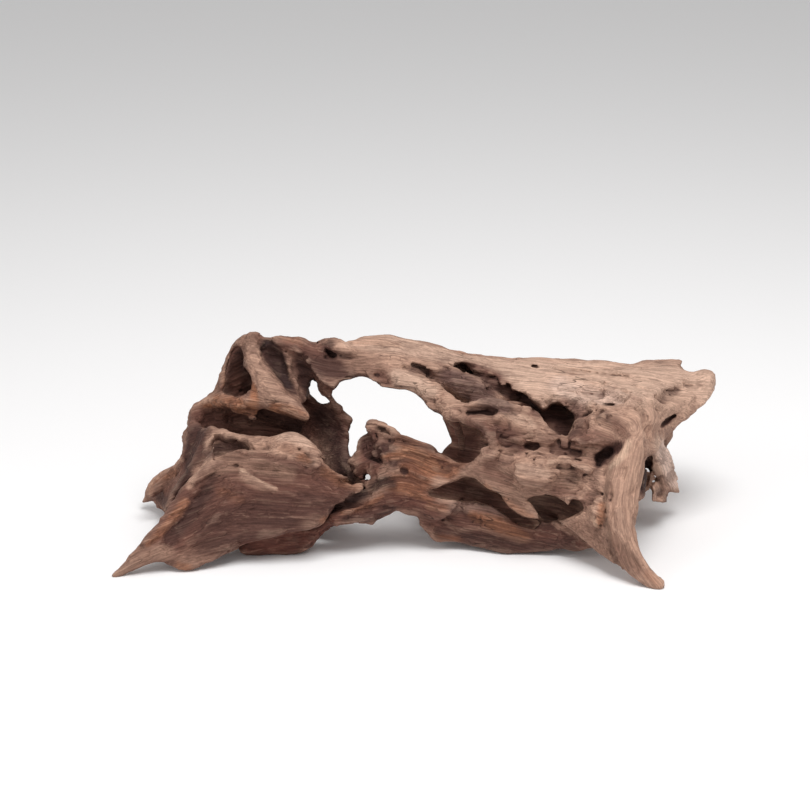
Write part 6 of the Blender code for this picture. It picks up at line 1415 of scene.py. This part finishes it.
def brushed(b, sheet, normal):
    """The tone of each point and how streaked it is: a ground all round, then strokes on the front.

    The ground goes from brown to fawn as a side turns upwards, and on the right it is one tone paler. A
    stroke is full along its middle, and fades out at one and a half of its radius, and with depth. Some
    strokes are painted shade in hollows, holes and under folds.
    """
    x, y, w = sheet.T
    lay = {}
    for name, code in TONES.items():
        lay[name] = np.array([*srgb(code)[:3], FIGURE.get(name, PLAIN_FIGURE)])
    patch = pattern("pale patch", sheet) + 0.5 * pattern("small pale patch", sheet)
    up = np.clip(0.5 + UPWARD_SHARE * normal[:, 2] + PATCH_SHARE * patch, 0, 1)[:, None]
    right = np.clip((x - PALER_FROM) / PALER_OVER, 0, 1)[:, None]
    low = lay["brown"] + (lay["fawn"] - lay["brown"]) * right
    high = lay["fawn"] + (lay["sand"] - lay["fawn"]) * right
    tone = low + (high - low) * up
    for name, strength, spots in STROKES:
        path = smooth_path([(x0, y0, 0, r) for x0, y0, r in spots], STROKE_STEP)
        mask, last = np.zeros(len(sheet)), None
        for x0, y0, _, r in path:
            met = b.front(x0, y0)
            last = met if met is not None else last
            if last is None:
                continue
            near = np.nonzero(np.maximum(np.abs(x - x0), np.abs(y - y0)) < STROKE_EDGE * r)[0]
            beside = np.hypot(x[near] - x0, y[near] - y0) / r
            behind = (w[near] - last) / (2 * r + STROKE_DEPTH)
            strong = np.clip(STROKE_MIDDLE - STROKE_FALL * np.hypot(beside, behind), 0, 1)
            mask[near] = np.maximum(mask[near], strong)
        mask = (strength * mask * mask * (3 - 2 * mask))[:, None]
        tone = tone + (lay[name] - tone) * mask
    return tone[:, :3], tone[:, 3]


def keep(mesh, name, values):
    """Store one number or one vector per point under a name that the material can read."""
    kind = "FLOAT" if values.ndim == 1 else "FLOAT_VECTOR"
    layer = mesh.attributes.new(name, kind, "POINT")
    layer.data.foreach_set("value" if kind == "FLOAT" else "vector", values.astype(np.float32).ravel())


def reduced(wood, share):
    """The wood's mesh with this share of its triangles."""
    modifier = wood.modifiers.new("reduce", "DECIMATE")
    modifier.ratio = share
    modifier.use_collapse_triangulate = True
    mesh = bpy.data.meshes.new_from_object(wood.evaluated_get(bpy.context.evaluated_depsgraph_get()))
    wood.modifiers.clear()
    wood.data = mesh
    mesh.name = "driftwood"
    return mesh


def driftwood():
    """The fine skin of the wood, with what its material needs stored on every point.

    The feet are pressed flat, and nothing passes the box of the CAD model. Lean is the normal as the
    sheet has it: along its columns, rows and depth.
    """
    b = carve(GRID)
    grain = Grain(b)
    wear(b, grain)
    sheet, quads = skin_of(b)
    wood = bpy.data.objects.new("driftwood", mesh_of("driftwood", np.stack(to_world(*sheet.T), 1), quads))
    bpy.context.scene.collection.objects.link(wood)
    mesh = reduced(wood, TRIANGLES / (2 * len(quads)))
    world = read(mesh.vertices, "co")
    world[world[:, 2] < FOOT_PRESS, 2] = 0
    world = np.clip(world, cad_low, cad_high)
    mesh.vertices.foreach_set("co", world.astype(np.float32).ravel())
    mesh.update()
    mesh.shade_smooth()
    sheet, normal = to_sheet(world), read(mesh.vertex_normals, "vector")
    c, s = math.cos(VIEW_TILT), math.sin(VIEW_TILT)
    nx, ny, nz = normal.T
    lean = np.stack([nx, -ny * s - nz * c, ny * c - nz * s], 1)
    stored = {"grain": grain.at(sheet), "worked": working(sheet, grain), **hollowness(b, sheet, lean)}
    stored["tone"], stored["figure"] = brushed(b, sheet, normal)
    for name, values in stored.items():
        keep(mesh, name, values)
    return wood


# Streaks of the grain: length and width in sheet steps, a shift that keeps each apart, then its noise:
# finer layers, their strength, and how far it is bent.
STREAKS = {
    "band": (150, 17, 0, 2, 0.5, 0.8),
    "streak": (110, 3.6, 7, 3, 0.65, 0.3),
    "fibre": (60, 1.6, 3, 1, 0.6, 0),
    "line": (160, 5.0, 13, 1, 0.5, 0.1),
    "crack": (80, 6.0, 21, 0, 0.5, 0),
}

# Spots without a direction: how many in a metre, finer layers, and their strength.
SPOTS = {"patch": (30, 3, 0.55), "mottle": (110, 3, 0.6), "speck": (620, 2, 0.6)}
LINE_WIDTH, CRACK_WIDTH = 0.035, 0.014  # how near its middle value a noise draws a line or a crack
BUMP_STRENGTH, BUMP_HEIGHT = 0.85, 0.0012  # the finest relief, in metres

# The studio, in metres and watts. Lamps: place, width and power.
LAMPS = {"high lamp": ((0.25, -0.35, 1.5), 0.9, 17), "left lamp": ((-1.2, -0.7, 0.9), 0.8, 3.6)}
LAMP_AIM = (0, 0, 0.05)  # the middle of the wood
EVEN_LIGHT = 0.48  # strength of the white light from all sides
FLOOR_TONE = "fbfafa"
FLOOR_HALF = 6.0  # from its middle to its edges
FLOOR_DROP = 0.0002  # keeps the floor just under the feet
SENSOR_WIDTH = 36  # of the camera, in millimetres


class Nodes:
    """Short names for adding shader nodes to one tree; most return the node's output."""

    def __init__(self, tree):
        self.tree = tree

    def add(self, kind, inputs=(), **settings):
        """A new node of this kind, with its inputs linked or set."""
        node = self.tree.nodes.new("ShaderNode" + kind)
        for name, value in settings.items():
            setattr(node, name, value)
        for name, value in dict(inputs).items():
            self.put(value, node.inputs[name])
        return node

    def put(self, value, socket):
        """Link an output to a socket, or set it to a number or a colour."""
        if hasattr(value, "is_output"):
            self.tree.links.new(value, socket)
        else:
            socket.default_value = value

    def attribute(self, name, part="Fac"):
        """What is stored on the points of the mesh under this name."""
        return self.add("Attribute", attribute_name=name).outputs[part]

    def math(self, kind, a, b=0.0, clamp=False):
        """Two values put together; clamp keeps the result between 0 and 1."""
        return self.add("Math", {0: a, 1: b}, operation=kind, use_clamp=clamp).outputs[0]

    def noise(self, vector, scale, detail, rough, twist=0.0):
        """Smooth random values round 0.5."""
        inputs = {"Vector": vector, "Scale": scale, "Detail": detail, "Roughness": rough}
        inputs["Distortion"] = twist
        return self.add("TexNoise", inputs).outputs["Fac"]

    def streak(self, grain, name):
        """Noise drawn out along the grain, whose coordinates are divided by its length and its width."""
        length, width, shift, *kind = STREAKS[name]
        inputs = {"Vector": grain, "Scale": (1 / length, 1 / width, 1 / width), "Location": (shift,) * 3}
        return self.noise(self.add("Mapping", inputs).outputs[0], 1, *kind)

    def ramp(self, value, low, high, bottom=0.0, top=1.0):
        """A smooth step from bottom, where the value is low, to top, where it is high."""
        inputs = {"Value": value, "From Min": low, "From Max": high, "To Min": bottom, "To Max": top}
        return self.add("MapRange", inputs, interpolation_type="SMOOTHSTEP").outputs["Result"]

    def thread(self, field, width):
        """1 where a noise passes its middle value, falling to 0 within this width."""
        return self.ramp(self.math("ABSOLUTE", self.math("SUBTRACT", field, 0.5)), 0.0, width, 1.0, 0.0)

    def mix(self, amount, a, b, blend="MIX"):
        """This amount of colour b over colour a. The node's inputs 6 and 7 are its two colours."""
        node = self.add("Mix", {0: amount}, data_type="RGBA", blend_type=blend, clamp_factor=True)
        self.put(a, node.inputs[6])
        self.put(b, node.inputs[7])
        return node.outputs[2]

    def shaded(self, share, colour, value):
        """The colour made darker or brighter by a value, to this share."""
        grey = self.add("CombineColor", {0: value, 1: value, 2: value}).outputs[0]
        return self.mix(share, colour, grey, "MULTIPLY")


def wood_material():
    """Dry weathered wood: the brushed tone streaked along the grain, painted shade in hollows, dark
    cracks.
    """
    material = bpy.data.materials.new("weathered driftwood")
    material.use_nodes = True
    n = Nodes(material.node_tree)
    shader = material.node_tree.nodes["Principled BSDF"]
    bleached, cream, umber, soot = (srgb(TONES[name]) for name in ("bleached", "cream", "umber", "soot"))

    grain = n.attribute("grain", "Vector")
    band, streak, fibre, line, crack = (n.streak(grain, name) for name in STREAKS)
    place = n.add("TexCoord").outputs["Object"]
    patch, mottle, speck = (n.noise(place, *spots) for spots in SPOTS.values())
    line = n.thread(line, LINE_WIDTH)
    crack = n.math("MULTIPLY", n.thread(crack, CRACK_WIDTH), n.ramp(patch, 0.50, 0.66))
    near, middle, far = (n.attribute(name) for name in HOLLOWS)
    worked = n.attribute("worked")

    # The tone with more of a dark or a pale tone in it, for the lines of the grain.
    tone = n.attribute("tone", "Color")
    dark_line = n.mix(0.68, tone, umber)
    deep_line = n.mix(0.75, tone, soot)
    pale_line = n.mix(0.35, tone, cream)

    # Streaks as strong as the brushed figure says, then fine dark ones, and pale ones in the open.
    figured = n.math("ADD", n.math("MULTIPLY", band, 0.5), n.math("MULTIPLY", streak, 0.5))
    strength = n.math("MULTIPLY", n.ramp(figured, 0.60, 0.36), n.attribute("figure"), True)
    pale = n.math("MULTIPLY", n.ramp(streak, 0.54, 0.70), n.ramp(far, 0.55, 0.3, 0.0, 0.4))
    colour = n.mix(strength, tone, deep_line)
    colour = n.mix(n.ramp(streak, 0.58, 0.40, 0.0, 0.22), colour, dark_line)
    colour = n.mix(pale, colour, pale_line)

    # Where each layer lies, its share, and its colour. The layers on hollows and creases are painted
    # shade, and the one on cuts is partly painted shade.
    layers = {
        "bare edge": (n.ramp(middle, 0.20, 0.05), 0.22, bleached),
        "mottle": (n.ramp(mottle, 0.46, 0.68), 0.38, dark_line),
        "raised grain": (n.ramp(worked, -0.2, -1.8), 0.35, pale_line),
        # darker where the surface is cut in: the grain's own dark lines, and painted shade in pits and
        # grooves
        "cuts, partly painted shade": (n.ramp(worked, 0.5, 2.2), 0.72, dark_line),
        # painted shade: umber in hollows, and soot deeper in them and in creases
        "hollow": (n.ramp(middle, 0.32, 0.58), 0.62, umber),
        "painted shade deep in hollows": (n.ramp(far, 0.32, 0.62), 0.5, soot),
        "painted shade in creases": (n.ramp(near, 0.42, 0.66), 0.6, soot),
        "thin line": (line, 0.34, dark_line),
    }
    for mask, share, over in layers.values():
        colour = n.mix(n.math("MULTIPLY", mask, share), colour, over)
    colour = n.shaded(0.8, colour, n.ramp(fibre, 0.30, 0.68, 0.72, 1.20))
    colour = n.shaded(0.6, colour, n.ramp(speck, 0.25, 0.7, 0.88, 1.14))
    colour = n.mix(n.math("MULTIPLY", crack, 0.8), colour, soot)
    n.put(colour, shader.inputs["Base Color"])

    n.put(n.ramp(fibre, 0.2, 0.7, 0.92, 0.72), shader.inputs["Roughness"])
    shader.inputs["Metallic"].default_value = 0.0
    shader.inputs["Specular IOR Level"].default_value = 0.3
    height = streak
    for part, share in ((fibre, 0.6), (speck, 0.15), (mottle, 0.7), (crack, -0.8)):
        height = n.math("ADD", height, n.math("MULTIPLY", part, share))
    bump = n.add("Bump", {"Height": height, "Strength": BUMP_STRENGTH, "Distance": BUMP_HEIGHT})
    n.put(bump.outputs["Normal"], shader.inputs["Normal"])
    return material


def floor_material():
    """A dull floor, nearly white."""
    material = bpy.data.materials.new("pale floor")
    material.use_nodes = True
    shader = material.node_tree.nodes["Principled BSDF"]
    shader.inputs["Base Color"].default_value = srgb(FLOOR_TONE)
    shader.inputs["Roughness"].default_value = 0.9
    return material


def soft_light(name, place, size, power):
    """A square lamp of this size that looks at the middle of the wood."""
    lamp = bpy.data.lights.new(name, "AREA")
    lamp.shape, lamp.size, lamp.energy = "SQUARE", size, power
    obj = bpy.data.objects.new(name, lamp)
    obj.location = place
    obj.rotation_euler = (Vector(LAMP_AIM) - Vector(place)).to_track_quat("-Z", "Y").to_euler()
    bpy.context.scene.collection.objects.link(obj)


def studio():
    """The floor, which stays out of the part, the even light and the lamps."""
    mesh = bpy.data.meshes.new("floor")
    corners = [(x * FLOOR_HALF, y * FLOOR_HALF, 0) for x, y in ((-1, -1), (1, -1), (1, 1), (-1, 1))]
    mesh.from_pydata(corners, [], [(0, 1, 2, 3)])
    mesh.materials.append(floor_material())
    floor = bpy.data.objects.new("floor", mesh)
    floor.location.z = -FLOOR_DROP
    bpy.context.scene.collection.objects.link(floor)
    floor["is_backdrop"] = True
    world = bpy.data.worlds.new("studio")
    bpy.context.scene.world = world
    world.use_nodes = True
    background = world.node_tree.nodes["Background"]
    background.inputs["Color"].default_value = (1, 1, 1, 1)
    background.inputs["Strength"].default_value = EVEN_LIGHT
    for name, lamp in LAMPS.items():
        soft_light(name, *lamp)


def photo_camera():
    """The camera of the photograph. Its width takes in the whole sheet."""
    c, s = math.cos(VIEW_TILT), math.sin(VIEW_TILT)
    lens = bpy.data.cameras.new("camera")
    lens.sensor_width = SENSOR_WIDTH
    lens.lens = SENSOR_WIDTH * VIEW_DISTANCE / (2 * SHEET_MIDDLE * STEP)
    camera = bpy.data.objects.new("camera", lens)
    high = (FLOOR_ROW - SHEET_MIDDLE) * c * STEP
    camera.location = (-CENTRE_X, -CENTRE_Y - VIEW_DISTANCE * c, high + VIEW_DISTANCE * s)
    camera.rotation_euler = (math.pi / 2 - VIEW_TILT, 0, 0)
    bpy.context.scene.collection.objects.link(camera)
    bpy.context.scene.camera = camera


bpy.context.scene.view_settings.view_transform = "Standard"
photo_camera()
wood = driftwood()
wood.data.materials.append(wood_material())
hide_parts("honeycomb_wood")
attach(wood, "root")
studio()
